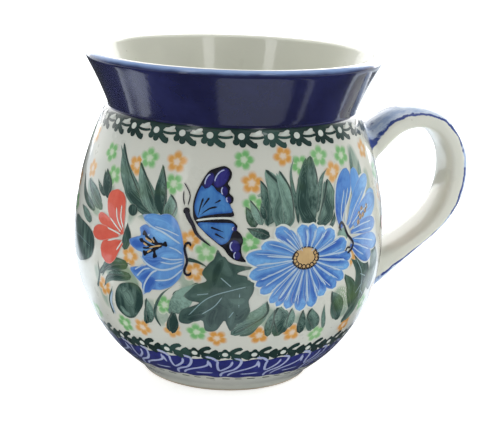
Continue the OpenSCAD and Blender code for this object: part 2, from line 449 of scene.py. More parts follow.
def makeIronSpecks():
    # a ground colour with a slow change of tint and scattered iron specks from the clay
    group, given, out = newGroup("ironSpecks", [
        ("Ground", "Color", (0.6, 0.6, 0.5, 1)), ("Tint", "Color", (0.5, 0.55, 0.5, 1)),
        ("Speck", "Color", (0.12, 0.07, 0.03, 1)), ("Amount", "Float", 0.5)],
        [("Color", "Color")])
    place = addNode(group, "TexCoord").outputs["Object"]
    cloud = fade(group, noise(group, place, 38.0, 3.0, 0.6), 0.35, 0.7)
    ground = blendColour(group, cloud, given.outputs["Ground"], given.outputs["Tint"])
    cells = addNode(group, "TexVoronoi", {"feature": "F1"}, Vector=place, Scale=330.0)
    dot = calc(group, "SUBTRACT", 1.0, fade(group, cells.outputs["Distance"], 0.04, 0.10))
    rare = fade(group, noise(group, place, 210.0, 0.0), 0.62, 0.70)
    mask = calc(group, "MULTIPLY", calc(group, "MULTIPLY", dot, rare), given.outputs["Amount"])
    group.links.new(blendColour(group, mask, ground, given.outputs["Speck"]), out.inputs["Color"])
    return group


def makeBrushwork():
    # ceramic colour laid with a brush: streaks along the stroke, a darker pooled edge, and dry thin places
    group, given, out = newGroup("brushwork", [
        ("Thick", "Color", (0.02, 0.05, 0.04, 1)), ("Thin", "Color", (0.2, 0.3, 0.25, 1)),
        ("Accent", "Color", (0.1, 0.12, 0.05, 1)), ("Accent Amount", "Float", 0.2),
        ("Streaks", "Float", 0.6), ("Streak Count", "Float", 3.0), ("Pool", "Float", 0.35),
        ("Pool Width", "Float", 0.5), ("Bleed", "Float", 0.4), ("Bleed Width", "Float", 0.3),
        ("Ground", "Color", (0.6, 0.6, 0.5, 1)), ("Wash Scale", "Float", 260.0)],
        [("Color", "Color")])
    along, across, tone, edge = (surfaceValue(group, key) for key in ("along", "across", "tone", "edge"))
    stroke = addNode(group, "CombineXYZ", X=calc(group, "MULTIPLY", along, 0.10),
                     Y=calc(group, "MULTIPLY", across, given.outputs["Streak Count"]),
                     Z=calc(group, "MULTIPLY", tone, 31.0)).outputs[0]
    streak = calc(group, "SUBTRACT", noise(group, stroke, 1.0, 3.0, 0.55), 0.5)
    place = addNode(group, "TexCoord").outputs["Object"]
    cloud = calc(group, "SUBTRACT", noise(group, place, given.outputs["Wash Scale"], 3.0, 0.6), 0.5)
    pooled = calc(group, "SUBTRACT", 1.0, fade(group, edge, 0.0, given.outputs["Pool Width"]))
    streaks = calc(group, "MULTIPLY", given.outputs["Streaks"], 1.6)
    level = calc(group, "ADD", tone, calc(group, "MULTIPLY", streak, streaks))
    level = calc(group, "ADD", level, calc(group, "MULTIPLY", cloud, 0.9))
    pooled = calc(group, "MULTIPLY", pooled, given.outputs["Pool"])
    level = calc(group, "SUBTRACT", level, pooled, clamp=True)
    colour = blendColour(group, level, given.outputs["Thick"], given.outputs["Thin"])
    warm = fade(group, noise(group, place, 75.0, 2.0), 0.50, 0.72)
    warm = calc(group, "MULTIPLY", warm, given.outputs["Accent Amount"])
    colour = blendColour(group, warm, colour, given.outputs["Accent"])
    bleeding = calc(group, "SUBTRACT", 1.0, fade(group, edge, 0.0, given.outputs["Bleed Width"]))
    bleeding = calc(group, "MULTIPLY", bleeding, given.outputs["Bleed"])
    group.links.new(blendColour(group, bleeding, colour, given.outputs["Ground"]), out.inputs["Color"])
    return group


glazeSkin = makeGlazeSkin()
ironSpecks = makeIronSpecks()
brushwork = makeBrushwork()


def useGroup(tree, group, **inputs):
    return addNode(tree, "Group", {"node_tree": group}, **inputs)


def newMaterial(name):
    material = bpy.data.materials.new(name)
    material.use_nodes = True
    tree = material.node_tree
    return material, tree, tree.nodes["Principled BSDF"]


clearGlaze = {
    "spread": 0.10,
    "peel": 0.35,
    "pinholes": 1.0,
    "depth": 0.00006,  # metres
    "coat": 1.0,
    "coatRoughness": 0.03,
    "coatIor": 1.5,
    "specular": 0.3,
}


def glazeOver(tree, shader, gloss=0.24, wave=1.0):
    # the clear glaze that lies over everything: a wavy skin, a soft body gloss and a sharp coat
    look = clearGlaze
    skin = useGroup(tree, glazeSkin, Wave=wave, Peel=look["peel"], Pinholes=look["pinholes"], Gloss=gloss,
                    Gloss_Spread=look["spread"])
    bump = addNode(tree, "Bump", Strength=1.0, Distance=look["depth"], Height=skin.outputs["Height"])
    tree.links.new(bump.outputs["Normal"], shader.inputs["Normal"])
    tree.links.new(bump.outputs["Normal"], shader.inputs["Coat Normal"])
    tree.links.new(skin.outputs["Roughness"], shader.inputs["Roughness"])
    shader.inputs["Coat Weight"].default_value = look["coat"]
    shader.inputs["Coat Roughness"].default_value = look["coatRoughness"]
    shader.inputs["Coat IOR"].default_value = look["coatIor"]
    shader.inputs["Specular IOR Level"].default_value = look["specular"]


def speckledGround(tree, look):
    ground = useGroup(tree, ironSpecks, Ground=look["ground"], Tint=look["tint"], Speck=look["speck"],
                      Amount=look["specks"])
    return ground.outputs["Color"]


def makeGroundGlaze(name, look):
    material, tree, shader = newMaterial(name)
    tree.links.new(speckledGround(tree, look), shader.inputs["Base Color"])
    glazeOver(tree, shader, wave=look.get("wave", 1.0))
    return material


# what a paint has where its own look doesn't say
plainPaint = {"accentAmount": 0.0, "streakCount": 2.5, "poolWidth": 0.5, "bleed": 0.0, "bleedWidth": 0.3,
              "washScale": 260.0}


def makePaint(name, look):
    material, tree, shader = newMaterial(name)
    look = {**plainPaint, "accent": look["thick"], **look}
    paint = useGroup(tree, brushwork, Thick=look["thick"], Thin=look["thin"], Accent=look["accent"],
                     Accent_Amount=look["accentAmount"], Streaks=look["streaks"],
                     Streak_Count=look["streakCount"], Pool=look["pool"], Pool_Width=look["poolWidth"],
                     Bleed=look["bleed"], Bleed_Width=look["bleedWidth"], Ground=groundLook["ground"],
                     Wash_Scale=look["washScale"])
    tree.links.new(paint.outputs["Color"], shader.inputs["Base Color"])
    glazeOver(tree, shader)
    return material


# colours

groundLook = {"ground": (0.60, 0.61, 0.545, 1), "tint": (0.54, 0.57, 0.52, 1),
              "speck": (0.16, 0.10, 0.05, 1), "specks": 0.55}
linerLook = {"ground": (0.68, 0.69, 0.59, 1), "tint": (0.64, 0.65, 0.56, 1), "speck": (0.16, 0.10, 0.05, 1),
             "specks": 0.45, "wave": 1.4}
clayLook = {"ground": (0.55, 0.49, 0.40, 1), "tint": (0.46, 0.40, 0.31, 1), "speck": (0.12, 0.07, 0.03, 1),
            "specks": 0.9}
paintLooks = {
    "leaf": {"thick": (0.014, 0.046, 0.040, 1), "thin": (0.22, 0.36, 0.30, 1),
             "accent": (0.09, 0.16, 0.045, 1), "accentAmount": 0.65,
             "streaks": 0.95, "streakCount": 3.0, "pool": 0.14, "poolWidth": 0.7,
             "bleed": 0.16, "bleedWidth": 0.28, "washScale": 130.0},
    "leafWash": {"thick": (0.20, 0.30, 0.24, 1), "thin": (0.44, 0.50, 0.42, 1),
                 "accent": (0.32, 0.40, 0.22, 1), "accentAmount": 0.5,
                 "streaks": 0.8, "streakCount": 2.0, "pool": 0.0, "bleed": 0.85,
                 "bleedWidth": 1.5, "washScale": 150.0},
    "maple": {"thick": (0.012, 0.040, 0.038, 1), "thin": (0.12, 0.21, 0.18, 1), "streaks": 0.45,
              "streakCount": 1.4, "pool": 0.15, "accent": (0.07, 0.13, 0.05, 1), "accentAmount": 0.35,
              "bleed": 0.12, "washScale": 130.0},
    "vine": {"thick": (0.008, 0.030, 0.026, 1), "thin": (0.04, 0.10, 0.085, 1), "streaks": 0.25, "pool": 0.1},
    "blue": {"thick": (0.026, 0.105, 0.42, 1), "thin": (0.17, 0.42, 0.74, 1), "streaks": 0.60,
             "streakCount": 2.4, "pool": 0.22, "poolWidth": 0.7, "accent": (0.07, 0.22, 0.58, 1),
             "accentAmount": 0.55, "bleed": 0.35, "washScale": 180.0},
    "coral": {"thick": (0.56, 0.062, 0.036, 1), "thin": (0.70, 0.17, 0.11, 1), "streaks": 0.4,
              "streakCount": 1.8, "pool": 0.1, "bleed": 0.35},
    "cream": {"thick": (0.55, 0.60, 0.56, 1), "thin": (0.66, 0.70, 0.64, 1), "streaks": 0.2, "pool": 0.1},
    "mistLine": {"thick": (0.20, 0.32, 0.34, 1), "thin": (0.42, 0.54, 0.54, 1), "streaks": 0.4, "pool": 0.2},
    "petalLine": {"thick": (0.34, 0.48, 0.64, 1), "thin": (0.60, 0.68, 0.68, 1), "streaks": 0.5, "pool": 0.2},
    "bandLine": {"thick": (0.32, 0.37, 0.60, 1), "thin": (0.52, 0.58, 0.70, 1), "streaks": 0.4, "pool": 0.2},
    "black": {"thick": (0.006, 0.006, 0.012, 1), "thin": (0.05, 0.05, 0.08, 1), "streaks": 0.3, "pool": 0.1},
    "navy": {"thick": (0.012, 0.010, 0.10, 1), "thin": (0.05, 0.05, 0.30, 1), "streaks": 0.5, "pool": 0.3},
    "wing": {"thick": (0.022, 0.10, 0.36, 1), "thin": (0.10, 0.33, 0.64, 1), "streaks": 0.7,
             "streakCount": 2.0, "pool": 0.35, "poolWidth": 0.8, "washScale": 180.0},
    "cobalt": {"thick": (0.010, 0.013, 0.13, 1), "thin": (0.030, 0.040, 0.27, 1), "streaks": 0.5,
               "pool": 0.3},
    "tan": {"thick": (0.40, 0.24, 0.09, 1), "thin": (0.62, 0.45, 0.22, 1), "streaks": 0.4, "pool": 0.3},
}
stampLooks = {
    "orange": {"strong": (0.60, 0.28, 0.05, 1), "weak": (0.66, 0.45, 0.21, 1),
               "middle": (0.66, 0.56, 0.46, 1)},
    "green": {"strong": (0.16, 0.42, 0.15, 1), "weak": (0.36, 0.55, 0.31, 1),
              "middle": (0.52, 0.62, 0.47, 1)},
}


def makeStamp(name, look):
    # sponge-stamped blossom: strong in the petals, pale in the middle, bleeding into the ground at its rim
    material, tree, shader = newMaterial(name)
    out, lobe, tone = (surfaceValue(tree, key) for key in ("along", "across", "tone"))
    place = addNode(tree, "TexCoord").outputs["Object"]
    grain = calc(tree, "SUBTRACT", noise(tree, place, 900.0, 3.0, 0.7), 0.5)
    reach = calc(tree, "ADD", out, calc(tree, "MULTIPLY", grain, 0.25))
    petal = calc(tree, "MULTIPLY", fade(tree, reach, 0.14, 0.5), fade(tree, lobe, -0.35, 0.8))
    strength = calc(tree, "MULTIPLY", petal, calc(tree, "ADD", 0.62, tone))
    strength = calc(tree, "ADD", strength, calc(tree, "MULTIPLY", grain, 0.5), clamp=True)
    petals = blendColour(tree, strength, look["weak"], look["strong"])
    flower = blendColour(tree, fade(tree, reach, 0.12, 0.42), look["middle"], petals)
    rim = fade(tree, reach, 0.60, 1.08)
    flower = blendColour(tree, rim, flower, groundLook["ground"])
    tree.links.new(flower, shader.inputs["Base Color"])
    glazeOver(tree, shader)
    return material


def makeCobalt(name):
    # thick cobalt glaze that breaks to a paler blue where it runs thin at the lip
    material, tree, shader = newMaterial(name)
    along = surfaceValue(tree, "along")
    place = addNode(tree, "TexCoord").outputs["Object"]
    cloud = noise(tree, place, 60.0, 4.0, 0.6)
    deep = blendColour(tree, fade(tree, cloud, 0.35, 0.7), cobaltLook["deep"], cobaltLook["cloud"])
    ragged = calc(tree, "ADD", along, calc(tree, "MULTIPLY", noise(tree, place, 140.0, 2.0), 0.9))
    thin = fade(tree, ragged, cobaltLook["breakStart"], cobaltLook["breakEnd"])
    colour = blendColour(tree, thin, deep, cobaltLook["thin"])
    tree.links.new(colour, shader.inputs["Base Color"])
    glazeOver(tree, shader, gloss=0.16, wave=1.2)
    return material


def makeBareClay(name, look):
    # fired stoneware with no glaze, rubbed smooth where it stands
    material, tree, shader = newMaterial(name)
    tree.links.new(speckledGround(tree, look), shader.inputs["Base Color"])
    place = addNode(tree, "TexCoord").outputs["Object"]
    grit = noise(tree, place, 1500.0, 4.0, 0.7)
    bump = addNode(tree, "Bump", Strength=1.0, Distance=0.00008, Height=grit)
    tree.links.new(bump.outputs["Normal"], shader.inputs["Normal"])
    rough = calc(tree, "ADD", 0.62, calc(tree, "MULTIPLY", grit, 0.3))
    tree.links.new(rough, shader.inputs["Roughness"])
    return material


def makeSpongedHandle(name, look):
    # cream glaze with a pale wash and cobalt dabs of a sponge over the back of the strap
    material, tree, shader = newMaterial(name)
    back, rootShare = surfaceValue(tree, "back"), surfaceValue(tree, "rootShare")
    place = addNode(tree, "TexCoord").outputs["Object"]
    ragged = calc(tree, "SUBTRACT", noise(tree, place, 260.0, 3.0, 0.65), 0.5)
    line = calc(tree, "SUBTRACT", look["washStarts"], calc(tree, "MULTIPLY", rootShare, look["washSpread"]))
    reach = calc(tree, "SUBTRACT", calc(tree, "ADD", back, calc(tree, "MULTIPLY", ragged, 0.34)), line)
    cover = fade(tree, reach, 0.0, 0.06)
    border = calc(tree, "SUBTRACT", 1.0, fade(tree, reach, 0.12, calc(
        tree, "ADD", 0.30, calc(tree, "MULTIPLY", rootShare, 0.50))))
    patchy = calc(tree, "ADD", 0.08, calc(tree, "MULTIPLY", noise(tree, place, 110.0, 1.0), 0.42))
    dab = calc(tree, "ADD", noise(tree, place, 210.0, 3.0, 0.65), calc(tree, "MULTIPLY", border, patchy))
    dab = fade(tree, calc(tree, "ADD", dab, calc(tree, "MULTIPLY", rootShare, 0.16)), 0.62, 0.76)
    streak = addNode(tree, "Mapping", Vector=place, Scale=(1.0, 3.2, 1.0)).outputs[0]
    wash = blendColour(tree, fade(tree, noise(tree, streak, 170.0, 4.0, 0.7), 0.35, 0.65), look["wash"],
                       look["washPale"])
    sponge = blendColour(tree, dab, wash, look["dab"])
    colour = blendColour(tree, cover, speckledGround(tree, look), sponge)
    tree.links.new(colour, shader.inputs["Base Color"])
    glazeOver(tree, shader)
    return material


handleLook = {"ground": (0.74, 0.75, 0.66, 1), "tint": (0.70, 0.72, 0.64, 1), "speck": (0.16, 0.10, 0.05, 1),
              "specks": 0.4, "wash": (0.34, 0.46, 0.68, 1), "washPale": (0.62, 0.70, 0.80, 1),
              "dab": (0.035, 0.065, 0.26, 1), "washStarts": 0.37, "washSpread": 0.36}
cobaltLook = {"deep": (0.008, 0.009, 0.050, 1), "cloud": (0.014, 0.017, 0.085, 1),
              "thin": (0.20, 0.31, 0.56, 1), "breakStart": collarLength + 1.9,
              "breakEnd": collarLength + 3.3}

groundGlaze = makeGroundGlaze("creamGroundGlaze", groundLook)
linerGlaze = makeGroundGlaze("creamLinerGlaze", linerLook)
cobaltGlaze = makeCobalt("cobaltCollarGlaze")
bareClay = makeBareClay("bareStoneware", clayLook)
handleGlaze = makeSpongedHandle("spongedHandleGlaze", handleLook)
paints = {key: makePaint(key + "Paint", look) for key, look in paintLooks.items()}
stamps = {key: makeStamp(key + "Stamp", look) for key, look in stampLooks.items()}
print("materials made")


# turned pieces

def collarOutline():
    # from the shoulder, through the filled crease of the neck, up the collar and over to the cream lip
    fillet = shape["neckFillet"]
    start = np.array([np.interp(bellyRise[-1] - fillet, bellyRise, bellyLine[:, k]) for k in range(2)])
    end = neck + collarAlong * fillet
    share = np.linspace(0, 1, 8)[:, None]
    crease = (1 - share) ** 2 * start + 2 * share * (1 - share) * neck + share ** 2 * end
    climb = np.linspace(fillet, collarLength, 24)[1:]
    sag = shape["collarHollow"] * np.sin(math.pi * climb / collarLength)
    side = neck + collarAlong * climb[:, None] - collarOut * sag[:, None]
    lipTop = math.asin(1 - shape["creamLip"] / lipRound)
    angles = np.linspace(collarAngle - math.pi / 2, lipTop, 10)[1:]
    lip = lipCentre + lipRound * np.stack([np.cos(angles), np.sin(angles)], axis=1)
    return np.concatenate([crease, side, lip])


def linerOutline():
    # from the edge of the cobalt over the lip, down the inside of the collar and the belly to the floor
    lipTop = math.asin(1 - shape["creamLip"] / lipRound)
    angles = np.linspace(lipTop, collarAngle + math.pi / 2, 12)
    lip = lipCentre + lipRound * np.stack([np.cos(angles), np.sin(angles)], axis=1)
    innerTop = lip[-1]
    down = np.linspace(0, collarLength - shape["collarEnd"], 16)[1:, None]
    side = innerTop - collarAlong * down
    throatEnd = side[-1, 1] - shape["throatDrop"]
    top = math.asin((throatEnd - highCentre[1]) / (shape["highArc"] - shape["wall"]))
    high = arcOutline(highCentre, shape["highArc"] - shape["wall"], top, 0.0, 1.2)[:, :2]
    share = np.linspace(0, 1, 8)[1:-1, None]
    bend = side[-1] - collarAlong * shape["throatBend"]
    throat = (1 - share) ** 2 * side[-1] + 2 * share * (1 - share) * bend + share ** 2 * high[0]
    lowRadius = shape["lowArc"] - shape["wall"]
    corner = shape["floorCorner"]
    cornerRadius = lowRadius - corner
    sink = math.asin((shape["floor"] + corner - lowCentre[1]) / cornerRadius)
    low = arcOutline(lowCentre, lowRadius, 0.0, sink, 1.2)[1:, :2]
    cornerCentre = (lowCentre[0] + cornerRadius * math.cos(sink), shape["floor"] + corner)
    curve = arcOutline(cornerCentre, corner, sink, -math.pi / 2, 0.8)[1:, :2]
    floor = [(curve[-1, 0] * share, shape["floor"]) for share in (0.6, 0.25, 0.0)]
    return np.concatenate([lip, side, throat, high, low, curve, floor])


def footLine():
    # side of the foot, from where the glaze starts up to the belly
    base = np.array([shape["footRadius"], shape["bareFoot"]])
    share = np.linspace(0, 1, 6)[:, None]
    swell = np.sin(math.pi * share) * shape["footSwell"]
    return base + (footTop - base) * share + np.concatenate([-swell, swell * 0], axis=1)


def clayOutline():
    # bare ring that the mug stands on, from the recess out to the glaze
    inner = shape["footRadius"] - shape["footRingWidth"]
    outer = shape["footRadius"] - shape["glazeSetBack"]
    bevel = shape["footBevel"]
    return [(inner, 1.0), (inner, bevel), (inner + bevel, 0.0), (outer - bevel, 0.0), (outer - 0.1, 0.15),
            (outer, bevel), (outer, shape["bareFoot"]), (outer + 0.25, shape["bareFoot"] + 0.12)]


def recessOutline():
    inner = shape["footRadius"] - shape["footRingWidth"]
    top = shape["recess"]
    return [(0.0, top), (inner * 0.5, top), (inner - 1.2, top), (inner - 0.4, top - 0.25),
            (inner - 0.05, top - 0.9), (inner, 0.9)]


outerLine = np.concatenate([footLine(), bellyLine[1:, :2]])
turnedPiece("bellyGround", outerLine, groundGlaze, ["belly_glaze"])
turnedPiece("cobaltCollar", collarOutline(), cobaltGlaze, ["collar_glaze"])
turnedPiece("creamLiner", linerOutline(), linerGlaze, ["liner_glaze"])
turnedPiece("bareFootRing", clayOutline(), bareClay, ["stoneware_body"])
turnedPiece("glazedRecess", recessOutline(), groundGlaze)
print("body turned")


# pulled handle and the slip around its two roots

strapShape = {
    "width": 15.0,
    # each row: distance from the axis, height, side thickness, crown of the back, share of the width
    "stations": [
        (36.0, 64.5, 9.0, 3.4, 1.16), (43.9, 70.6, 5.6, 3.2, 1.12), (51.9, 77.4, 4.4, 2.4, 1.02),
        (59.5, 79.4, 4.3, 1.5, 1.00), (66.1, 77.3, 4.8, 1.3, 1.00), (71.0, 71.0, 5.1, 1.3, 1.00),
        (72.6, 63.0, 5.2, 1.3, 1.00), (71.2, 54.0, 5.0, 1.3, 1.00), (66.7, 46.3, 4.6, 1.3, 1.00),
        (59.5, 39.9, 4.6, 1.3, 1.01), (52.6, 35.2, 5.8, 1.4, 1.06), (46.5, 31.6, 8.0, 1.5, 1.14),
        (40.0, 28.0, 10.5, 1.5, 1.20), (33.5, 24.4, 12.5, 1.5, 1.24)],
    "thicknessShare": 1.76,
    "sectionPower": 0.52,  # 1 is an ellipse and 0 a rectangle
    "innerCrown": 0.6,
    "sectionPoints": 72,
    "step": 0.6,
    "sunk": 2.0,  # how far the ends run into the wall
    "fingerWaves": 0.10,  # how far the pulling fingers left the faces uneven
    "upperSlip": 2.6,  # reach of the slip on the strap and on the belly
    "lowerSlip": 2.0,
    "slipRows": 12,
    "slipRipple": 0.06,  # how far the wiped slip is uneven
    "rootFade": 14,  # how far from a root the sponged colour changes
}


def signPower(value, power):
    return np.sign(value) * np.abs(value) ** power


def outerRadiusAt(height):
    return np.interp(height, bellyLine[:, 1], bellyLine[:, 0])


def depthOutside(points):
    # how far points stand outside the belly, in millimetres
    return np.hypot(points[..., 0], points[..., 1]) - outerRadiusAt(points[..., 2])


def sweepStrap():
    rows = smoothCurve(strapShape["stations"], strapShape["step"])
    along = np.gradient(rows[:, :2], axis=0)
    along /= np.linalg.norm(along, axis=1)[:, None]
    outward = np.stack([-along[:, 1], along[:, 0]], axis=1)
    angle = np.linspace(0, 2 * math.pi, strapShape["sectionPoints"], endpoint=False)
    side = signPower(np.cos(angle), strapShape["sectionPower"])
    back = signPower(np.sin(angle), strapShape["sectionPower"])
    thickness = rows[:, 2:3] / strapShape["thicknessShare"]
    crown = np.where(np.sin(angle)[None] > 0, rows[:, 3:4], -strapShape["innerCrown"])
    crown = crown * (1 - side * side)[None]
    travelled = np.concatenate([[0.0], np.cumsum(np.hypot(*np.diff(rows[:, :2], axis=0).T))])
    waves = np.sin(travelled / 5.3)[:, None] * np.sin(angle * 2 + 0.7)[None] * strapShape["fingerWaves"]
    depth = thickness * back[None] + crown + waves
    halfWidth = strapShape["width"] * rows[:, 4:5] / 2 + waves
    points = np.stack([rows[:, 0:1] + outward[:, 0:1] * depth, halfWidth * side[None],
                       rows[:, 1:2] + outward[:, 1:2] * depth], axis=-1)
    return points, np.broadcast_to(depth / (thickness + rows[:, 3:4]), depth.shape), travelled


def rootLoop(points, upper):
    # where the strap comes out of the belly, and the strap a little further on
    outside = depthOutside(points)
    count = points.shape[1]
    reach = strapShape["upperSlip" if upper else "lowerSlip"]
    order = range(len(points)) if upper else range(len(points) - 1, -1, -1)
    seam, onStrap = np.zeros((count, 3)), np.zeros((count, 3))
    for k in range(count):
        line = points[list(order), k]
        away = outside[list(order), k]
        j = next(i for i in range(1, len(away)) if away[i] > 0 >= away[i - 1])
        share = -away[j - 1] / (away[j] - away[j - 1])
        seam[k] = line[j - 1] + (line[j] - line[j - 1]) * share
        gone = np.concatenate([[0.0], np.cumsum(np.linalg.norm(np.diff(line, axis=0), axis=1))])
        at = gone[j - 1] + (gone[j] - gone[j - 1]) * share + reach
        onStrap[k] = [np.interp(at, gone, line[:, axis]) for axis in range(3)]
    spin = np.roll(seam, -1, axis=0) - np.roll(seam, 1, axis=0)
    spin /= np.linalg.norm(spin, axis=1)[:, None]
    normal = seam * (1, 1, 0)
    normal /= np.linalg.norm(normal, axis=1)[:, None]
    away = np.cross(spin, normal)
    middle = seam.mean(axis=0)
    away *= np.sign(((seam - middle) * away).sum(axis=1).mean())
    onBody = seam + away * reach
    radius = outerRadiusAt(onBody[:, 2]) + 0.01
    flat = np.hypot(onBody[:, 0], onBody[:, 1])
    onBody[:, :2] *= (radius / flat)[:, None]
    return onStrap, seam, onBody


def slipFillet(name, points, back, upper, node):
    onStrap, seam, onBody = rootLoop(points, upper)
    rows = strapShape["slipRows"]
    share = np.linspace(0, 1, rows)[:, None, None]
    smooth = (1 - share) ** 2 * onStrap + 2 * share * (1 - share) * seam + share ** 2 * onBody
    ripple = np.sin(np.arange(len(seam)) * 0.52)[None, :, None]
    beads = np.sin(math.pi * share) * strapShape["slipRipple"] * ripple
    normal = seam * (1, 1, 0) / np.linalg.norm(seam * (1, 1, 0), axis=1)[:, None]
    smooth = smooth + beads * normal[None]
    count = len(seam)
    faces = []
    for i in range(rows - 1):
        for k in range(count):
            n = (k + 1) % count
            face = (i * count + k, i * count + n, (i + 1) * count + n, (i + 1) * count + k)
            faces.append(face[::-1] if upper else face)
    row = back[len(back) // 12] if upper else back[-len(back) // 12]
    share = np.linspace(0.6, 1.0, rows) * (1.0 if upper else 0.2)
    values = {"back": np.tile(row, rows), "rootShare": np.repeat(share, count)}
    return meshPiece(name, smooth.reshape(-1, 3) * mm, faces, handleGlaze, values, [node])


def makeHandle():
    points, back, travelled = sweepStrap()
    slipFillet("upperSlipFillet", points, back, True, "upper_slip_joint")
    slipFillet("lowerSlipFillet", points, back, False, "lower_slip_joint")
    outside = depthOutside(points)
    buried = outside < -strapShape["sunk"]
    floorRadius = outerRadiusAt(points[..., 2]) - strapShape["sunk"]
    flat = np.hypot(points[..., 0], points[..., 1])
    pull = np.where(buried, floorRadius / flat, 1.0)
    points[..., 0] *= pull
    points[..., 1] *= pull
    keep = ~buried.all(axis=1)
    points, back, travelled = points[keep], back[keep], travelled[keep]
    rings, count = points.shape[:2]
    faces = []
    for j in range(rings - 1):
        a, b = j * count, (j + 1) * count
        faces.extend((a + k, a + (k + 1) % count, b + (k + 1) % count, b + k) for k in range(count))
    fromRoot = np.minimum(travelled - travelled[0], travelled[-1] - travelled)
    upper = travelled < travelled[-1] / 2
    nearRoot = np.clip(1 - fromRoot / strapShape["rootFade"], 0, 1)
    rootShare = np.repeat(nearRoot * np.where(upper, 0.8, 0.15), count)
    return meshPiece("handleStrap", points.reshape(-1, 3) * mm, faces, handleGlaze,
                     {"back": back.ravel(), "rootShare": rootShare}, ["handle"])


makeHandle()
print("handle pulled and slipped on")


# stamped bands round the neck and above the foot

bandLook = {
    "repeats": 30,
    "neckTurn": 3.7,  # turn of one dot of the neck vine
    "neckDot": 40.2,
    "neckFoot": 41.5,
    "neckTop": 43.0,
    "footTurn": 0.1,
    "footDot": -25.6,
    "dotRadius": 0.95,
    "petalTop": -28.0,
    "petalFoot": -38.4,
    "petalRepeats": 17,
    "petalTurn": -1.9,
    "shake": 0.35,  # how unevenly the stamp was set down, in degrees
}

vineGreen = newPaint(0.040)
vineCream = newPaint(0.160)
bandCobalt = newPaint(0.030)
bandLines = newPaint(0.080)


def paintRing(paint, low, high, rows=8, tone=0.3, columns=720):
    # a band all the way round; low and high give the rise of its edges at each turn
    turns = np.linspace(0, 360, columns + 1)
    lows, highs = low(turns), high(turns)
    share = np.linspace(0, 1, rows)
    turn = np.repeat(turns, rows)
    rise = (lows[:, None] + (highs - lows)[:, None] * share[None]).ravel()
    faces = [(i * rows + j, (i + 1) * rows + j, (i + 1) * rows + j + 1, i * rows + j + 1)
             for i in range(columns) for j in range(rows - 1)]
    edge = np.minimum(rise - np.repeat(lows, rows), np.repeat(highs, rows) - rise)
    along, across = np.repeat(turns * 0.8, rows), np.tile(share * 2 - 1, columns + 1)
    addPaint(paint, turn, rise, nextLift(paint), faces, along, across, tone, edge)


def discOutline(turn, rise, radius, lobes=0, depth=0.0, count=30, spin=0.0):
    # a circle of (turn, rise) points, with lobes if asked
    scale = float(bellyRadiusAt(rise)) * math.pi / 180
    angles = np.linspace(0, 2 * math.pi, count, endpoint=False)
    reach = radius * (1 + depth * np.cos(lobes * (angles - spin)))
    return np.stack([turn + reach * np.cos(angles) / scale, rise + reach * np.sin(angles)], axis=1)


def neckVine():
    pitch = 360 / bandLook["repeats"]
    dot = bandLook["neckDot"]

    def wavyFoot(turns):
        return bandLook["neckFoot"] + 0.2 * np.sin(np.radians(turns * 30 + 50))

    def evenTop(turns):
        return 0 * turns + bandLook["neckTop"]

    paintRing(vineGreen, wavyFoot, evenTop, 8, 0.15)
    for i in range(bandLook["repeats"]):
        turn = bandLook["neckTurn"] + pitch * i + dice.uniform(-1, 1) * bandLook["shake"]
        tone = 0.15 + 0.5 * dice.random() ** 3
        body = [(-4.0, 1.7), (-2.9, 0.4), (-2.8, -0.9), (0.0, -1.8), (2.6, -1.2), (3.0, 0.1), (3.8, 1.7)]
        fillShape(vineGreen, [(turn + t, dot + r) for t, r in body], tone)
        for t, r in ((-2.1, -1.6), (0.5, -2.2)):
            fillShape(vineGreen, discOutline(turn + t, dot + r, 0.95, count=12), tone)
        for spine, width in [
                ([(2.2, 0.0), (4.5, -0.4), (7.0, -0.45), (9.4, -0.1)], 0.75),
                ([(1.8, -0.9), (3.2, -1.7), (4.8, -2.5), (6.5, -2.6)], 1.65)]:
            brushStroke(vineGreen, [(turn + t, dot + r) for t, r in spine], width, "line", tone)
        fillShape(vineCream, discOutline(turn, dot, bandLook["dotRadius"], count=16), 0.6)
        comma = [(3.5, 0.05), (5.2, 0.45), (6.8, 0.95), (8.3, 1.6)]
        brushStroke(vineCream, [(turn + t, dot + r) for t, r in comma], 1.2, "leaf", 0.5)


def footVine():
    pitch = 360 / bandLook["repeats"]
    dot = bandLook["footDot"]
    for i in range(bandLook["repeats"]):
        turn = bandLook["footTurn"] + pitch * i + dice.uniform(-1, 1) * bandLook["shake"]
        tone = 0.1 + 0.5 * dice.random() ** 3
        fillShape(vineGreen, discOutline(turn, dot, 1.95, 5, 0.16, spin=math.pi / 2), tone)
        for spine, width in [
                ([(1.8, 0.0), (6.0, -0.7), (10.4, -0.1)], 1.7),
                ([(2.2, 0.3), (3.4, 1.5), (5.2, 2.3), (6.9, 2.3)], 1.6),
                ([(6.6, -0.5), (7.6, 0.6), (9.4, 1.5)], 1.5),
                ([(2.6, -0.8), (4.6, -1.9), (7.0, -2.6)], 1.8),
                ([(7.4, -0.7), (9.0, -1.6), (10.6, -2.0)], 1.6)]:
            brushStroke(vineGreen, [(turn + t, dot + r) for t, r in spine], width, "line", tone)
        fillShape(vineCream, discOutline(turn, dot, bandLook["dotRadius"] * 0.92, count=14), 0.6)


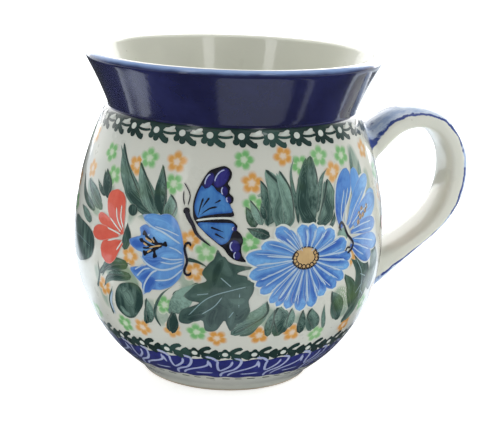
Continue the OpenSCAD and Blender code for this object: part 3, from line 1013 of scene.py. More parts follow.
def petalBand():
    # cobalt band of swirled petals, outlined by the glaze left bare between them
    count = bandLook["petalRepeats"]
    pitch = 360 / count
    low, high = bandLook["petalFoot"], bandLook["petalTop"]

    def wavyTop(turns):
        return high + 0.35 * np.sin(np.radians(turns * 2 * count)) - 0.3

    def wavyFoot(turns):
        return low + 0.3 * np.sin(np.radians(turns * 2 * count + 40))

    paintRing(bandCobalt, wavyFoot, wavyTop, 12, 0.35)
    # each row of swirls: width of the line and its points, as turn and rise from the foot of the heart
    swirls = [
        (0.76, [(-0.6, -28.6), (-0.9, -31.4), (0.0, -34.0), (3.0, -32.6), (5.0, -30.8), (5.5, -28.8)]),
        (0.80, [(6.0, -27.3), (8.8, -28.1), (9.2, -29.5), (8.3, -31.5), (6.3, -33.3), (2.8, -34.6),
                (0.7, -36.0),
                (0.5, -38.0)]),
        (0.74, [(16.5, -28.6), (16.1, -31.0), (13.2, -32.6), (8.8, -34.0), (5.2, -35.5), (3.6, -37.2)]),
        (1.30, [(16.4, -29.5), (17.2, -30.9), (17.7, -32.5)]),
        (0.90, [(-5.9, -27.0), (-2.6, -27.7), (-0.7, -29.2)]),
        (0.62, [(9.6, -36.0), (13.8, -35.9), (18.2, -35.5)]),
    ]
    for i in range(count):
        turn = bandLook["petalTurn"] + pitch * i + dice.uniform(-1, 1) * bandLook["shake"]
        for row, (width, places) in enumerate(swirls):
            kind = "taper" if row == 3 else "line"
            brushStroke(bandLines, [(turn + t, rise) for t, rise in places], width, kind, 0.3)
        for share, reach, width in ((0.05, 0.20, 0.55), (0.36, 0.18, 0.45), (0.66, 0.22, 0.5)):
            start = turn + share * pitch
            dash = [(start, low - 1.1), (start + reach * pitch, low - 1.2)]
            brushStroke(vineGreen, dash, width, "line", 0.3)


coarse = dict(paintGrain)
paintGrain.update({"step": 0.4, "fillSpacing": 0.5})  # the shoulder bends tightly under the neck's vine
neckVine()
paintGrain.update(coarse)
footVine()
petalBand()
print("bands stamped")


# the painted bouquet

leafWashes = newPaint(0.004, 6)
leaves = newPaint(0.045, 28)
mapleLeaves = newPaint(0.147)
leafVeins = newPaint(0.155)
coralPetals = newPaint(0.160)
bluePetals = newPaint(0.165)
reserves = newPaint(0.153)
petalLines = newPaint(0.211)
blackLines = newPaint(0.230)
wingCells = newPaint(0.245)
wingLobes = newPaint(0.249)
wingLines = newPaint(0.270)
flowerEyes = newPaint(0.227)
orangeStamps = newPaint(0.028, 4)
greenStamps = newPaint(0.030, 4)
coralLines = newPaint(0.211)


def leaf(turn, spine, width, tone, kind="leaf"):
    # a leaf of one loaded stroke, painted from the tip, with a darker pull of the brush down one side
    tone += 0.05
    fading = dice.uniform(-0.70, -0.10)
    brushStroke(leaves, spine, width, kind, tone, turn=turn, fading=fading)
    if width > 3.2:
        scale = float(bellyRadiusAt(spine[0][1])) * math.pi / 180
        shifted = [(t + dice.choice((-0.2, 0.2)) * width / scale, r - 0.6) for t, r in spine]
        brushStroke(leaves, shifted, width * 0.62, kind, tone - 0.34, turn=turn, fading=fading, melt=tone)
    if width > 2.4:
        scale = float(bellyRadiusAt(spine[0][1])) * math.pi / 180
        side = dice.choice((-0.36, 0.36)) * width / scale
        last = len(spine) - 1
        edgeLine = [(t + side * math.sin(math.pi * k / last), r) for k, (t, r) in enumerate(spine)]
        brushStroke(leaves, edgeLine, 0.2 + width * 0.12, "taper", -0.15, turn=turn)


def leftLeaves(turn):
    for spine, width, tone in [
            ([(-47.3, 34.8), (-43, 28), (-36.5, 22), (-27.3, 16.2)], 5.6, 0.36),
            ([(-36, 30.5), (-33, 25.5), (-29.5, 21), (-24.5, 17.2)], 5.2, 0.55),
            ([(-26, 30.8), (-25.2, 26), (-24.6, 21), (-23.6, 17)], 3.8, 0.15),
            ([(-21.2, 23), (-20.4, 20), (-20.5, 16)], 4.0, 0.72),
            ([(-72, 22), (-66.5, 16.5), (-56, 13.4)], 2.8, 0.12),
            ([(-65, 21.5), (-59.5, 18.6), (-52.5, 15)], 4.8, 0.35),
            ([(-57.8, 22.5), (-54.5, 20.3), (-50.5, 18.6)], 2.0, 0.1),
            ([(-53, 26.4), (-51, 22.5), (-49.3, 18.8)], 4.4, 0.08),
            ([(-68, 13), (-62, 11), (-57.5, 9.8)], 3.2, 0.5)]:
        leaf(turn, spine, width, tone)
    fillShape(leaves, [(-75, 8), (-66, 8.6), (-58, 7.5), (-55, 5.4), (-54.6, 2.5), (-57, -1), (-64, -3.6),
                       (-70, -4.5), (-76, -2)], 0.16, turn=turn)
    brushStroke(leafVeins, [(-74, 3), (-66, 3.2), (-57, 2.2)], 0.35, "taper", 0.3, turn=turn)


def underWashes(turn):
    # pale washes laid before the leaves, which fill the gaps between them
    for spine, width, tone in [
            ([(-66, 22), (-59, 16), (-52, 12)], 6.5, 0.30), ([(-50, 24), (-47, 19), (-46, 14)], 4.5, 0.45),
            ([(-38, 25), (-33, 19), (-27, 15)], 7.5, 0.25), ([(-30, 18), (-35, 16.5), (-37, 12)], 4.0, 0.60),
            ([(-22, 21), (-19, 17), (-17.5, 14)], 4.0, 0.55), ([(9, 25), (13, 20), (16, 15)], 8.0, 0.35),
            ([(24, 25), (25, 19), (26, 15)], 5.0, 0.70), ([(34, 26), (34, 20), (32, 15)], 5.0, 0.40),
            ([(43, 32), (45, 27), (44, 20)], 4.0, 0.70), ([(55, 36), (56, 28), (54, 20)], 6.5, 0.45),
            ([(64, 28), (62, 20), (60, 13)], 6.0, 0.55), ([(-54, -2), (-51, -8), (-49, -16)], 5.0, 0.55),
            ([(-48, -3), (-38, -2), (-31, -6)], 7.0, 0.20), ([(-30, -9), (-24, -12), (-22, -17)], 6.5, 0.40),
            ([(-20, 3), (-13, -2), (-17, -9)], 5.5, 0.55), ([(10, -9), (15, -12), (18, -18)], 7.5, 0.35),
            ([(24, -12), (28, -14), (33, -18)], 6.0, 0.45), ([(40, -6), (46, -10), (49, -17)], 8.5, 0.35),
            ([(52, 2), (58, -5), (58, -14)], 8.0, 0.50), ([(-8, 5), (-10, 1), (-13, -3)], 4.0, 0.60)]:
        brushStroke(leafWashes, spine, width, "oval", tone, turn=turn)


def coralFlower(turn):
    for spine, width in [
            ([(-39.5, 9), (-42, 13), (-43.8, 17), (-44.2, 21.6)], 8.2),
            ([(-40.5, 10), (-46.5, 11.3), (-53.2, 12.6)], 3.6),
            ([(-40.8, 8.6), (-48, 8.2), (-55.8, 6.9)], 4.6),
            ([(-39, 7), (-43.5, 4.5), (-49.5, 1.0)], 6.8)]:
        brushStroke(coralPetals, spine, width, "petal", 0.35, turn=turn)
    for spine in [
            [(-43.4, 16.4), (-42.2, 13.2), (-39.4, 10.4)], [(-46.0, 13.0), (-43.4, 11.6), (-39.8, 9.7)],
            [(-47.0, 9.9), (-43.0, 9.5), (-39.8, 9.0)], [(-46.4, 6.2), (-43.0, 7.2), (-39.6, 8.3)],
            [(-41.6, 4.2), (-40.2, 5.8), (-38.9, 7.4)], [(-40.9, 17.5), (-40.6, 14.0), (-38.9, 11.0)]]:
        brushStroke(coralLines, spine, 0.42, "line", 0.6, turn=turn)
    brushStroke(leaves, [(-37.3, 12.9), (-37.0, 9), (-38, 4.9)], 3.2, "leaf", 0.12, turn=turn)
    fillShape(leaves, discOutline(-35.6, 16.8, 1.7, count=16), 0.15, turn=turn)


bellOutline = [
    (-14.6, 6.5), (-15.3, 10.5), (-16.5, 13.6), (-17.9, 15.8), (-20.5, 17.3), (-23, 17.2), (-25, 16.4),
    (-28, 16.6), (-31.2, 15.9), (-28.5, 14.2), (-27.6, 12.9), (-29.4, 13.6), (-31.8, 12.3), (-31.2, 10.3),
    (-33, 9.6), (-35.8, 8.4), (-35, 6.8), (-32, 5.6), (-30.2, 5.4), (-30, 3.6), (-28, 2.3), (-31, 1.2),
    (-34.9, 0.3), (-34, -1.3), (-31.6, -2.9), (-30, -4), (-29.6, -7), (-26.6, -5.2), (-22.5, -4.6),
    (-18.5, -2.9), (-15.6, 0), (-14.5, 3.5)]


def leftBell(turn):
    fillShape(bluePetals, bellOutline, 0.50, turn=turn)
    for spine, width, tone in [
            ([(-30.6, 15.2), (-26, 15.2), (-21, 14.4), (-17.0, 11.8)], 3.4, 0.62),
            ([(-28.0, 12.6), (-23, 11.0), (-17.0, 9.0)], 3.6, 0.90),
            ([(-25.0, 4.4), (-20.0, 5.8), (-15.4, 6.0)], 3.0, 0.75),
            ([(-31.4, 12.2), (-29.0, 11.6), (-27.4, 10.4)], 2.6, 0.10),
            ([(-35.2, 7.8), (-32.0, 7.6), (-28.4, 7.6)], 2.8, -0.15),
            ([(-30.2, 4.0), (-26.0, 3.2), (-21.6, 4.4)], 3.0, 0.30),
            ([(-34.4, -0.2), (-31.0, 0.0), (-28.0, 1.0)], 2.2, -0.05),
            ([(-31.4, -2.6), (-28.6, -1.2), (-26.0, 0.6)], 2.2, -0.05),
            ([(-28.8, -6.4), (-27.6, -3.6), (-24.6, -1.6)], 3.4, -0.20),
            ([(-24.4, -3.6), (-20.0, -2.4), (-16.4, 0.4)], 2.2, 0.20)]:
        brushStroke(bluePetals, spine, width, "oval", tone, turn=turn, melt=0.42)
    for spine, width in [
            ([(-30.1, 14.6), (-26.7, 13.1), (-22.0, 11.9), (-16.0, 9.4)], 0.50),
            ([(-25.9, 13.4), (-20.9, 12.7), (-16.6, 11.6)], 0.32),
            ([(-20.2, 8.2), (-17.3, 7.6), (-15.2, 6.5)], 0.36),
            ([(-22.9, 4.9), (-19.0, 4.7), (-14.7, 5.3)], 0.36),
            ([(-23.2, 3.6), (-19.0, 3.5), (-14.9, 4.6)], 0.36),
            ([(-31.0, 4.4), (-27.8, 2.3), (-23.5, 1.3), (-19.5, 1.9), (-14.8, 3.9)], 0.56),
            ([(-29.7, -7.4), (-29.0, -3.8), (-26.2, -0.1), (-23.9, 1.1)], 0.50),
            ([(-25.0, -2.1), (-19.4, -1.0), (-14.8, 2.4)], 0.42),
            ([(-32.2, -1.9), (-29.3, 0.6), (-26.6, 1.3)], 0.44), ([(-32.9, 0.0), (-29.4, 2.1)], 0.36),
            ([(-29.6, 11.0), (-28.6, 10.2), (-27.6, 11.0)], 0.40)]:
        brushStroke(petalLines, spine, width, "line", 0.35, turn=turn)
    stamens(turn)
    curl = [(-12.4, 8.9), (-12.9, 9.9), (-14.1, 9.7), (-14.6, 8.4), (-14.2, 6.9), (-13.6, 5.2), (-13.7, 3.9),
            (-14.3, 2.6), (-14.3, 1.5), (-13.5, 0.8), (-12.4, 1.1), (-12.2, 1.8)]
    brushStroke(blackLines, curl, 0.72, "line", 0.25, turn=turn)
    brushStroke(leaves, [(-13.7, 5.3), (-11.6, 5.1), (-9.2, 4.6), (-6.6, 3.5)], 1.3, "taper", 0.05, turn=turn)


def stamens(turn):
    # a tangle of short black and tan strokes in the throat of the bell flower
    for spine, width in [
            ([(-29.6, 11.2), (-28.2, 9.8), (-25.2, 8.6), (-21.7, 8.7)], 0.95),
            ([(-30.8, 8.9), (-28.1, 8.0), (-25.2, 7.6), (-22.4, 8.3)], 0.80),
            ([(-29.2, 5.3), (-27.0, 6.2), (-23.4, 7.9)], 0.85),
            ([(-25.1, 5.0), (-25.4, 6.7), (-24.2, 8.2)], 0.80),
            ([(-26.2, 10.4), (-25.4, 9.6), (-24.2, 8.6)], 0.60),
            ([(-30.0, 6.8), (-28.4, 6.9), (-26.6, 7.4)], 0.50)]:
        brushStroke(blackLines, spine, width, "line", 0.12, turn=turn)
    for t, r, size in ((-21.6, 8.8, 0.72), (-29.6, 11.0, 0.72), (-30.7, 8.9, 0.62), (-29.0, 5.4, 0.75),
                       (-25.2, 5.1, 0.70)):
        fillShape(blackLines, discOutline(t, r, size, 3, 0.18, count=12, spin=t), 0.1, turn=turn)
    for spine, width in [
            ([(-29.2, 9.7), (-27.6, 9.1), (-26.4, 8.8)], 0.55), ([(-29.9, 8.2), (-28.2, 7.6)], 0.50),
            ([(-27.6, 7.1), (-25.2, 7.8), (-22.8, 8.4)], 0.42), ([(-28.2, 5.7), (-26.6, 6.7)], 0.45),
            ([(-26.8, 9.9), (-25.6, 8.8)], 0.40)]:
        brushStroke(flowerEyes, spine, width, "line", 0.75, lift=0.262, turn=turn)


daisyCentre = (27.3, 5.6)
daisyTips = [
    (5.9, 6.6), (11, 9.7), (16.3, 14.7), (20, 14), (25.8, 15.3), (30.4, 15.2), (34.6, 14), (39.6, 12.3),
    (45.6, 8.2), (48, 3.5), (47.3, 1), (44.5, -2.6), (41, -4.7), (35.7, -6.5), (31.3, -9.7), (26.4, -10.4),
    (21, -9.2), (17.2, -8.2), (14.8, -7), (11.2, -3.9), (9.5, -1.6), (7.2, 1.2)]
daisyInner = [(17.8, -6.6), (23.2, -7.8), (28.6, -7.8), (33.1, -4.8)]
daisyPetal = {"narrowest": 3.0, "widest": 5.0, "reserve": 1.2}


def daisy(turn):
    centre = np.array(daisyCentre)
    scale = float(bellyRadiusAt(centre[1])) * math.pi / 180
    angles = np.array([math.atan2(r - centre[1], (t - centre[0]) * scale) for t, r in daisyTips])
    reach = np.array([math.hypot((t - centre[0]) * scale, r - centre[1]) for t, r in daisyTips])
    order = np.argsort(angles)
    angles, reach = angles[order], reach[order]
    gaps = (np.roll(angles, -1) - np.roll(angles, 1)) % (2 * math.pi) / 2
    for k, (angle, out, gap) in enumerate(zip(angles, reach, gaps)):
        direction = np.array([math.cos(angle) / scale, math.sin(angle)])
        sideways = np.array([-math.sin(angle) / scale, math.cos(angle)])
        width = min(daisyPetal["widest"], max(daisyPetal["narrowest"], gap * out))
        bend = dice.uniform(-0.5, 0.5)
        near = centre + direction * 2.4
        halfway = centre + direction * (out * 0.55) + sideways * bend
        spine = [near, halfway, centre + direction * out]
        wide = [near, halfway, centre + direction * (out + 0.4)]
        brushStroke(reserves, wide, width + daisyPetal["reserve"], "petal", 0.5, lift=0.155 + 0.003 * (k % 2),
                    turn=turn)
        tone = 0.30 + 0.34 * dice.random() + (0.14 if angle > 0.2 else -0.08)
        brushStroke(bluePetals, spine, width, "petal", tone, lift=0.167 + 0.006 * (k % 2), turn=turn,
                    fading=0.5)
        side = dice.choice((-0.22, 0.22)) * width
        shade = [near, centre + direction * (out * 0.5) + sideways * (bend + side * 0.7),
                 centre + direction * (out * 0.93) + sideways * side]
        brushStroke(bluePetals, shade, width * 0.5, "petal", tone - 0.55, lift=0.179 + 0.003 * (k % 2),
                    turn=turn, melt=tone)
        for offset, start, end in ((-0.22, 0.22, 0.86), (0.24, 0.28, 0.72)):
            shift = sideways * offset * width
            vein = [centre + direction * out * start + shift * 0.4,
                    centre + direction * out * (start + end) / 2 + sideways * bend * 0.8 + shift,
                    centre + direction * out * end + shift * 1.15]
            brushStroke(petalLines, vein, 0.26, "line", 0.15, turn=turn)
        edgeAngle = angle + gap / 2
        between = np.array([math.cos(edgeAngle) / scale, math.sin(edgeAngle)])
        groove = [centre + between * 3.6, centre + between * out * 0.62, centre + between * out * 0.84]
        brushStroke(petalLines, groove, 0.38, "line", 0.45, turn=turn)
    for t, r in daisyInner:
        spine = [centre + (np.array([t, r]) - centre) * 0.25, (t, r)]
        brushStroke(bluePetals, spine, 2.2, "petal", 0.25, lift=0.205, turn=turn)
    angles = np.linspace(0, 2 * math.pi, 24, endpoint=False)
    disc = [(centre[0] + 4.1 * math.cos(a) / scale, centre[1] + 3.0 * math.sin(a)) for a in angles]
    rim = [(centre[0] + 4.45 * math.cos(a) / scale, centre[1] + 3.35 * math.sin(a)) for a in angles]
    fillShape(blackLines, rim, 0.55, lift=0.225, turn=turn)
    fillShape(flowerEyes, disc, 0.62, lift=0.231, turn=turn)
    for k in range(12):
        a = math.radians(150 + k * 240 / 11)
        place = (centre[0] + 3.5 * math.cos(a) / scale, centre[1] + 2.45 * math.sin(a))
        fillShape(blackLines, discOutline(place[0], place[1], 0.72, count=12), 0.2,
                  lift=0.237 + 0.003 * (k % 2), turn=turn)
        fillShape(flowerEyes, discOutline(place[0], place[1], 0.42, count=10), 0.8, lift=0.245, turn=turn)


def rightBell(turn):
    for spine, width, tone in [
            ([(48, 14), (53, 21), (54, 29)], 5.0, 0.95), ([(50, 12), (60, 16), (68, 20)], 7.0, 0.90)]:
        brushStroke(leafWashes, spine, width + 2.0, "oval", 0.8, turn=turn)
        brushStroke(bluePetals, spine, width, "petal", tone, turn=turn)
    for spine, width, tone in [
            ([(43.0, 12.4), (42.6, 17), (45.6, 23), (49.8, 29.2)], 6.0, 0.30),
            ([(46.0, 13), (51, 18.4), (57, 22.6), (63.5, 25.4)], 5.0, 0.62),
            ([(47, 12), (53, 15.4), (61, 17.6), (68, 18.2)], 4.8, 0.52),
            ([(47.8, 10.6), (56, 11.2), (66.0, 10.8)], 5.0, 0.35),
            ([(48, 8.4), (57, 7.0), (67.5, 4.4)], 4.8, 0.50),
            ([(47.4, 7), (53, 4.2), (62.0, 1.2)], 4.6, 0.30)]:
        brushStroke(reserves, spine, width + 0.9, "petal", 0.5, lift=0.155, turn=turn)
        brushStroke(bluePetals, spine, width, "petal", tone, turn=turn, fading=0.35)
    for spine in [
            [(43.6, 14.0), (43.4, 17.6), (46.2, 23.4)], [(44.8, 13.8), (45.6, 18.4), (48.4, 23.6)],
            [(47.6, 14.0), (52.0, 18.2), (58.0, 21.6)], [(48.4, 12.8), (54.0, 15.4), (61.0, 17.0)],
            [(48.8, 11.4), (55.0, 12.0), (62.0, 11.9)], [(49.0, 10.2), (55.0, 10.2), (62.0, 9.7)],
            [(49.4, 8.6), (56.0, 7.4), (63.5, 5.6)], [(49.0, 7.4), (54.0, 5.6), (60.0, 3.6)],
            [(48.2, 6.6), (52.0, 4.4), (56.0, 2.6)]]:
        brushStroke(petalLines, spine, 0.38, "line", 0.35, turn=turn)
    for t, r in [(52.7, 12.9), (54.4, 14.2), (56.2, 14.6), (55.6, 16.4), (58.0, 15.6), (59.3, 16.6),
                 (53.6, 15.2)]:
        fillShape(flowerEyes, discOutline(t, r, 0.75, count=10), 0.5, lift=0.235, turn=turn)
        brushStroke(blackLines, [(t - 0.8, r - 0.8), (t + 0.3, r), (t + 0.2, r + 1.0)], 0.35, "line", 0.5,
                    turn=turn)
    fillShape(leaves, discOutline(43.6, 10.4, 2.2, count=18), 0.95, turn=turn)
    brushStroke(blackLines, [(43.0, 11.6), (42.1, 12.9), (43.0, 14.2), (44.4, 13.0), (45.9, 10.3),
                             (48.2, 8.4),
                             (49.1, 7.1), (48.0, 5.6), (45.6, 4.7)], 0.75, "line", 0.3, turn=turn)
    brushStroke(blackLines, [(47.6, 6.2), (45.8, 6.4), (44.8, 5.4)], 0.5, "line", 0.3, turn=turn)


def rightLeaves(turn):
    for spine, width, tone in [
            ([(13, 31.0), (17, 25), (18.8, 19), (18.2, 14.2)], 6.8, 0.66),
            ([(18.2, 30.6), (20.4, 25), (21.0, 18), (20.3, 15)], 4.2, 0.74),
            ([(32.0, 34.2), (30, 28), (28.8, 21), (28.6, 15.0)], 8.0, 0.2),
            ([(38.4, 27.2), (38.4, 22), (36, 17.5), (33.4, 14.6)], 6.0, 0.36)]:
        leaf(turn, spine, width, tone, "blade")
    for spine, width, tone in [
            ([(10.8, 28.1), (12.2, 25), (14, 20), (14.4, 15.8)], 3.6, 0.45),
            ([(5.6, 20.8), (7.6, 18), (9.2, 15)], 3.2, 0.12),
            ([(7, 22.7), (9, 19.5), (11.6, 15.6)], 2.6, 0.8),
            ([(11, 22), (12.5, 17)], 1.8, 0.15),
            ([(6.1, 14.8), (9.5, 13.6), (14.2, 12.4)], 3.2, 0.12),
            ([(24.9, 34.3), (22.9, 30.3), (23, 26), (24.2, 19.5), (24.6, 15.5)], 1.4, 0.25),
            ([(30.5, 30), (29.6, 24), (29.3, 18)], 2.6, 0.5),
            ([(25.8, 28.5), (26.3, 23), (27, 17.5)], 2.6, 0.05),
            ([(39.3, 30.2), (36.2, 28), (34, 24), (32.4, 18)], 2.0, 0.3),
            ([(40.7, 18.3), (39.3, 15), (36.7, 12.4)], 1.6, 0.2),
            ([(55.2, 34.3), (53.6, 30), (53.1, 26)], 1.6, 0.5),
            ([(59.6, 30.7), (57.5, 24)], 2.2, 0.6)]:
        leaf(turn, spine, width, tone)


mapleOutline = [
    (-3.4, 8.6), (-1.5, 6.6), (2, 4.8), (8.8, 3.7), (5.2, 2.8), (3.4, 1.9), (6.6, 1.2), (6.9, 0.2),
    (9.1, -0.3),
    (9, -3.4), (7.6, -6), (7.8, -8.7), (4.9, -12.2), (2.1, -16.2), (0.2, -13.6), (-0.6, -12.6), (-3.4, -16.1),
    (-7.1, -16.3), (-8.1, -13), (-11, -13.4), (-13.3, -14.5), (-16.4, -14.2), (-16.6, -12), (-15.2, -9.8),
    (-12, -8.6), (-9.2, -7.2), (-12.4, -6.8), (-14.4, -5.4), (-12.4, -3.4), (-10.6, -1.8), (-8.6, -1.2),
    (-6.8, -0.3), (-8.4, 1.8), (-6.2, 4.6), (-4.5, 6)]


def mapleLeaf(turn):
    leaf(turn, [(-9.5, -1.2), (-13.5, -5), (-19, -11.2)], 5.6, 0.80)
    leaf(turn, [(-14, -3.4), (-18.6, -5.6)], 1.2, 0.2)
    leaf(turn, [(-18.2, -10), (-19, -14), (-20.8, -18.2)], 3.4, 0.08)
    fillShape(mapleLeaves, mapleOutline, 0.30, turn=turn)
    for spine, width, tone in [
            ([(8.0, -8.0), (4.0, -12.0), (0.0, -9.5)], 3.0, 0.10),
            ([(-15.6, -12.6), (-10, -10.4), (-5, -8.2)], 3.2, 0.12),
            ([(-5.0, -15.4), (-5.4, -11.6), (-3.2, -8.0)], 2.8, 0.08),
            ([(-2.6, 7.0), (-1.0, 3.4), (2.0, 1.0)], 3.6, 0.62),
            ([(-12.6, -5.4), (-8.6, -4.6), (-5.0, -3.0)], 1.8, 0.55),
            ([(7.6, -1.2), (4.2, -1.4), (1.0, -2.6)], 2.0, 0.5),
            ([(1.6, -14.2), (1.8, -10.6), (0.6, -7.2)], 2.2, 0.60),
            ([(-13.8, -13.2), (-9.6, -11.9), (-6.4, -11.0)], 2.2, -0.10),
            ([(-1.6, 6.0), (-3.6, 2.0), (-4.4, -2.0)], 2.4, 0.02),
            ([(6.8, -5.6), (3.6, -6.4), (0.4, -5.6)], 2.6, 0.66),
            ([(4.2, 2.8), (1.6, 2.6), (-0.6, 1.2)], 2.0, 0.00)]:
        brushStroke(mapleLeaves, spine, width, "oval", tone, turn=turn, melt=0.30)
    for spine in [
            [(-13, -11.5), (-8, -6.8), (-3.8, -4.5), (1.8, -2.9), (6.6, -1.8)], [(-2.1, 0.7), (1.5, -1.9)],
            [(4.4, -3.8), (4.3, -8.2)], [(-8.4, -10.8), (-4, -8), (-1.4, -5.0)], [(-6, -4.2), (-10, -4.8)],
            [(1, -11.5), (2.6, -9.5)]]:
        brushStroke(leafVeins, spine, 0.28, "line", 0.2, turn=turn)


def lowerLeaves(turn):
    for spine, width, tone in [
            ([(-50.5, -4.6), (-45, -0.6), (-36, 0.8)], 4.0, 0.25),
            ([(-48.6, -8), (-44, -4), (-34.5, -2.4)], 3.4, 0.35),
            ([(-44.1, -7.2), (-46.7, -12.1), (-47, -17.3)], 1.4, 0.2),
            ([(-28.6, -8), (-28, -12), (-29.6, -16.5)], 3.6, 0.4),
            ([(-18.3, -2.9), (-22.5, -6), (-25.3, -10.5), (-25.6, -14), (-24, -17)], 1.0, 0.25),
            ([(14, -6.3), (11, -11), (3.4, -16.8)], 6.2, 0.55),
            ([(12.5, -13.5), (9, -17), (5, -17.9)], 0.9, 0.3),
            ([(18.8, -7.2), (19.6, -12), (19.8, -18)], 6.2, 0.40),
            ([(17, -9), (15.6, -14), (15.6, -18.5)], 2.6, 0.35),
            ([(23.4, -9), (23.6, -12), (22.3, -16)], 3.0, 0.6),
            ([(28, -10), (28.3, -14), (28.7, -18.6)], 2.8, 0.15),
            ([(31.5, -10), (32.5, -13), (34.8, -17.8)], 4.8, 0.45),
            ([(37, -9.5), (37.5, -13), (39.6, -18.4)], 1.8, 0.5),
            ([(39.5, -5.8), (43, -10), (45.5, -16)], 5.2, 0.3),
            ([(43, -8), (45, -11)], 2.8, 0.05),
            ([(44.5, -1), (49.5, -6), (53.5, -14)], 4.6, 0.2),
            ([(50, 3.5), (56.5, -2), (57, -13)], 8.6, 0.22),
            ([(62, 6), (66, -1), (64, -10)], 7.0, 0.30), ([(60, -9), (56, -13), (51, -18)], 4.6, 0.45)]:
        leaf(turn, spine, width, tone)
    for spine in [
            [(51.5, 2.0), (56.0, -3.6), (56.8, -11.5)], [(54.6, -3.0), (58.6, -4.4)],
            [(56.4, -6.6), (53.4, -9.0)], [(56.6, -8.6), (59.6, -10.6)]]:
        brushStroke(leafVeins, spine, 0.30, "line", 0.6, turn=turn)
    fillShape(leaves, [(-43.1, -9.4), (-40.5, -6), (-37.1, -4.7), (-33.5, -4.2), (-30.8, -5.4), (-30, -8.1),
                       (-31.5, -12), (-35.4, -15.8), (-39.9, -16.4), (-43.6, -13.8)], 0.12, turn=turn)
    for spine, width, tone in [
            ([(-40.8, -7.6), (-37.2, -8.4), (-35.4, -12.4)], 5.2, 0.44),
            ([(-41.6, -12.6), (-39.6, -15.0), (-36.6, -15.4)], 2.4, 0.78),
            ([(-32.2, -5.8), (-31.6, -9.2), (-34.6, -14.2)], 2.6, -0.25)]:
        brushStroke(leaves, spine, width, "oval", tone, turn=turn, melt=0.14)
    brushStroke(petalLines, [(-44.2, -8.6), (-46.3, -12.6), (-45.6, -17.0)], 0.8, "oval", 0.3, turn=turn)
    brushStroke(leaves, [(-51.8, -5.0), (-47.4, -1.3), (-40.0, 1.3), (-34.4, 1.0)], 1.1, "taper", 0.1,
                turn=turn)
    brushStroke(leaves, [(-53.7, -9.6), (-51.4, -5.1), (-52.0, -0.9)], 1.0, "taper", 0.2, turn=turn)


upperWing = [
    (-11.4, 16.2), (-12.6, 20.1), (-11.9, 23.8), (-10.4, 26.7), (-9.3, 28.4), (-7.6, 30.3), (-4.7, 31.3),
    (-2.4, 31.8), (-0.6, 31.3), (0.6, 30.1), (0.3, 28.3), (-0.8, 27), (0.2, 26), (-0.1, 24.4), (1.4, 23.2),
    (1.1, 21.8), (0.1, 21.2), (1, 19.9), (1.6, 18.1), (-2.7, 17.8), (-6.5, 17.3)]
upperCell = [
    (-10.8, 17.3), (-12, 20.1), (-11.3, 23.6), (-9.9, 26.1), (-8.8, 25.2), (-7.6, 26.1), (-6.2, 26.3),
    (-4.4, 24.8), (-2.3, 23.9), (-0.6, 22.2), (0.6, 20.6), (1.1, 19.2), (-3.9, 18.6), (-8.7, 17.8)]
lowerWing = [
    (-11.4, 16.2), (-8, 17), (-4.7, 17.1), (0.5, 17), (3, 15.4), (2.7, 14.3), (4.1, 13.3), (5, 11.4),
    (4.4, 9.4),
    (4.8, 7.1), (6.1, 5.4), (2.6, 5.8), (0.1, 7.3), (-1.3, 8.9), (-4.4, 10.8), (-8, 13.2)]
lowerCell = [
    (-10.4, 15.7), (-4.7, 16.1), (1.7, 15.9), (1.1, 13.1), (0, 11.1), (-2.4, 10.1), (-5.2, 11.7),
    (-8.4, 13.7)]


def butterfly(turn):
    fillShape(blackLines, upperWing, 0.08, lift=0.230, turn=turn)
    fillShape(blackLines, lowerWing, 0.08, lift=0.234, turn=turn)
    fillShape(wingCells, upperCell, 0.42, turn=turn)
    fillShape(wingCells, lowerCell, 0.34, turn=turn)
    for place, size, lean in [((-7.5, 27.6), (1.15, 2.3), -20), ((-3.1, 28.5), (1.75, 3.0), -32),
                              ((-1.9, 24.9), (0.95, 1.4), 8), ((-0.3, 22.6), (0.7, 0.9), 20),
                              ((2.2, 9.7), (1.5, 1.8), 10), ((3.0, 7.2), (1.0, 1.2), 0),
                              ((2.0, 14.6), (0.7, 0.6), 0)]:
        scale = float(bellyRadiusAt(place[1])) * math.pi / 180
        tilt = math.radians(lean)

        def leaningArc(angles, share):
            arc = []
            for a in angles:
                x, y = size[0] * share * math.cos(a), size[1] * share * math.sin(a)
                arc.append((place[0] + (x * math.cos(tilt) - y * math.sin(tilt)) / scale,
                            place[1] + x * math.sin(tilt) + y * math.cos(tilt)))
            return arc

        lobe = leaningArc([2 * math.pi * k / 16 for k in range(16)], 1)
        crescent = leaningArc([math.radians(110 + 20 * k) for k in range(7)], 0.82)
        fillShape(wingLobes, lobe, 0.35, turn=turn)
        brushStroke(wingLines, crescent, 0.32, "line", 0.5, turn=turn)
    for spine in [
            [(-9.1, 22.8), (-9.9, 20.4), (-10.5, 17.7)], [(-7, 22.9), (-8.4, 21.2), (-9.3, 20)],
            [(-4, 20.5), (-6.8, 19.9), (-9.8, 18)], [(-6, 14.8), (-1.5, 13.6)],
            [(-4.6, 13.1), (-1.2, 11.8)],
            [(-3.0, 22.4), (-5.2, 21.4)]]:
        brushStroke(blackLines, spine, 0.62, "taper", 0.1, lift=0.255, turn=turn)
    brushStroke(reserves, [(-11.2, 16.4), (-6, 17.2), (-1, 17.5), (2.0, 17.4)], 0.55, "line", 0.6, lift=0.255,
                turn=turn)
    fillShape(blackLines, discOutline(-14.7, 18.8, 0.95, count=14), 0.1, lift=0.245, turn=turn)
    brushStroke(blackLines, [(-14.7, 18.8), (-13.7, 16.9), (-12.1, 15), (-10.8, 12.8), (-8.3, 11),
                             (-5.5, 9.4)], 1.5,
                "taper", 0.3, turn=turn)
    brushStroke(blackLines, [(-15.5, 20.2), (-16.3, 22.4), (-16.3, 24.3)], 0.3, "line", 0.3, turn=turn)
    brushStroke(blackLines, [(-14.4, 20.2), (-13.9, 23.1), (-15.3, 25.3), (-16.6, 26.5)], 0.3, "line", 0.3,
                turn=turn)


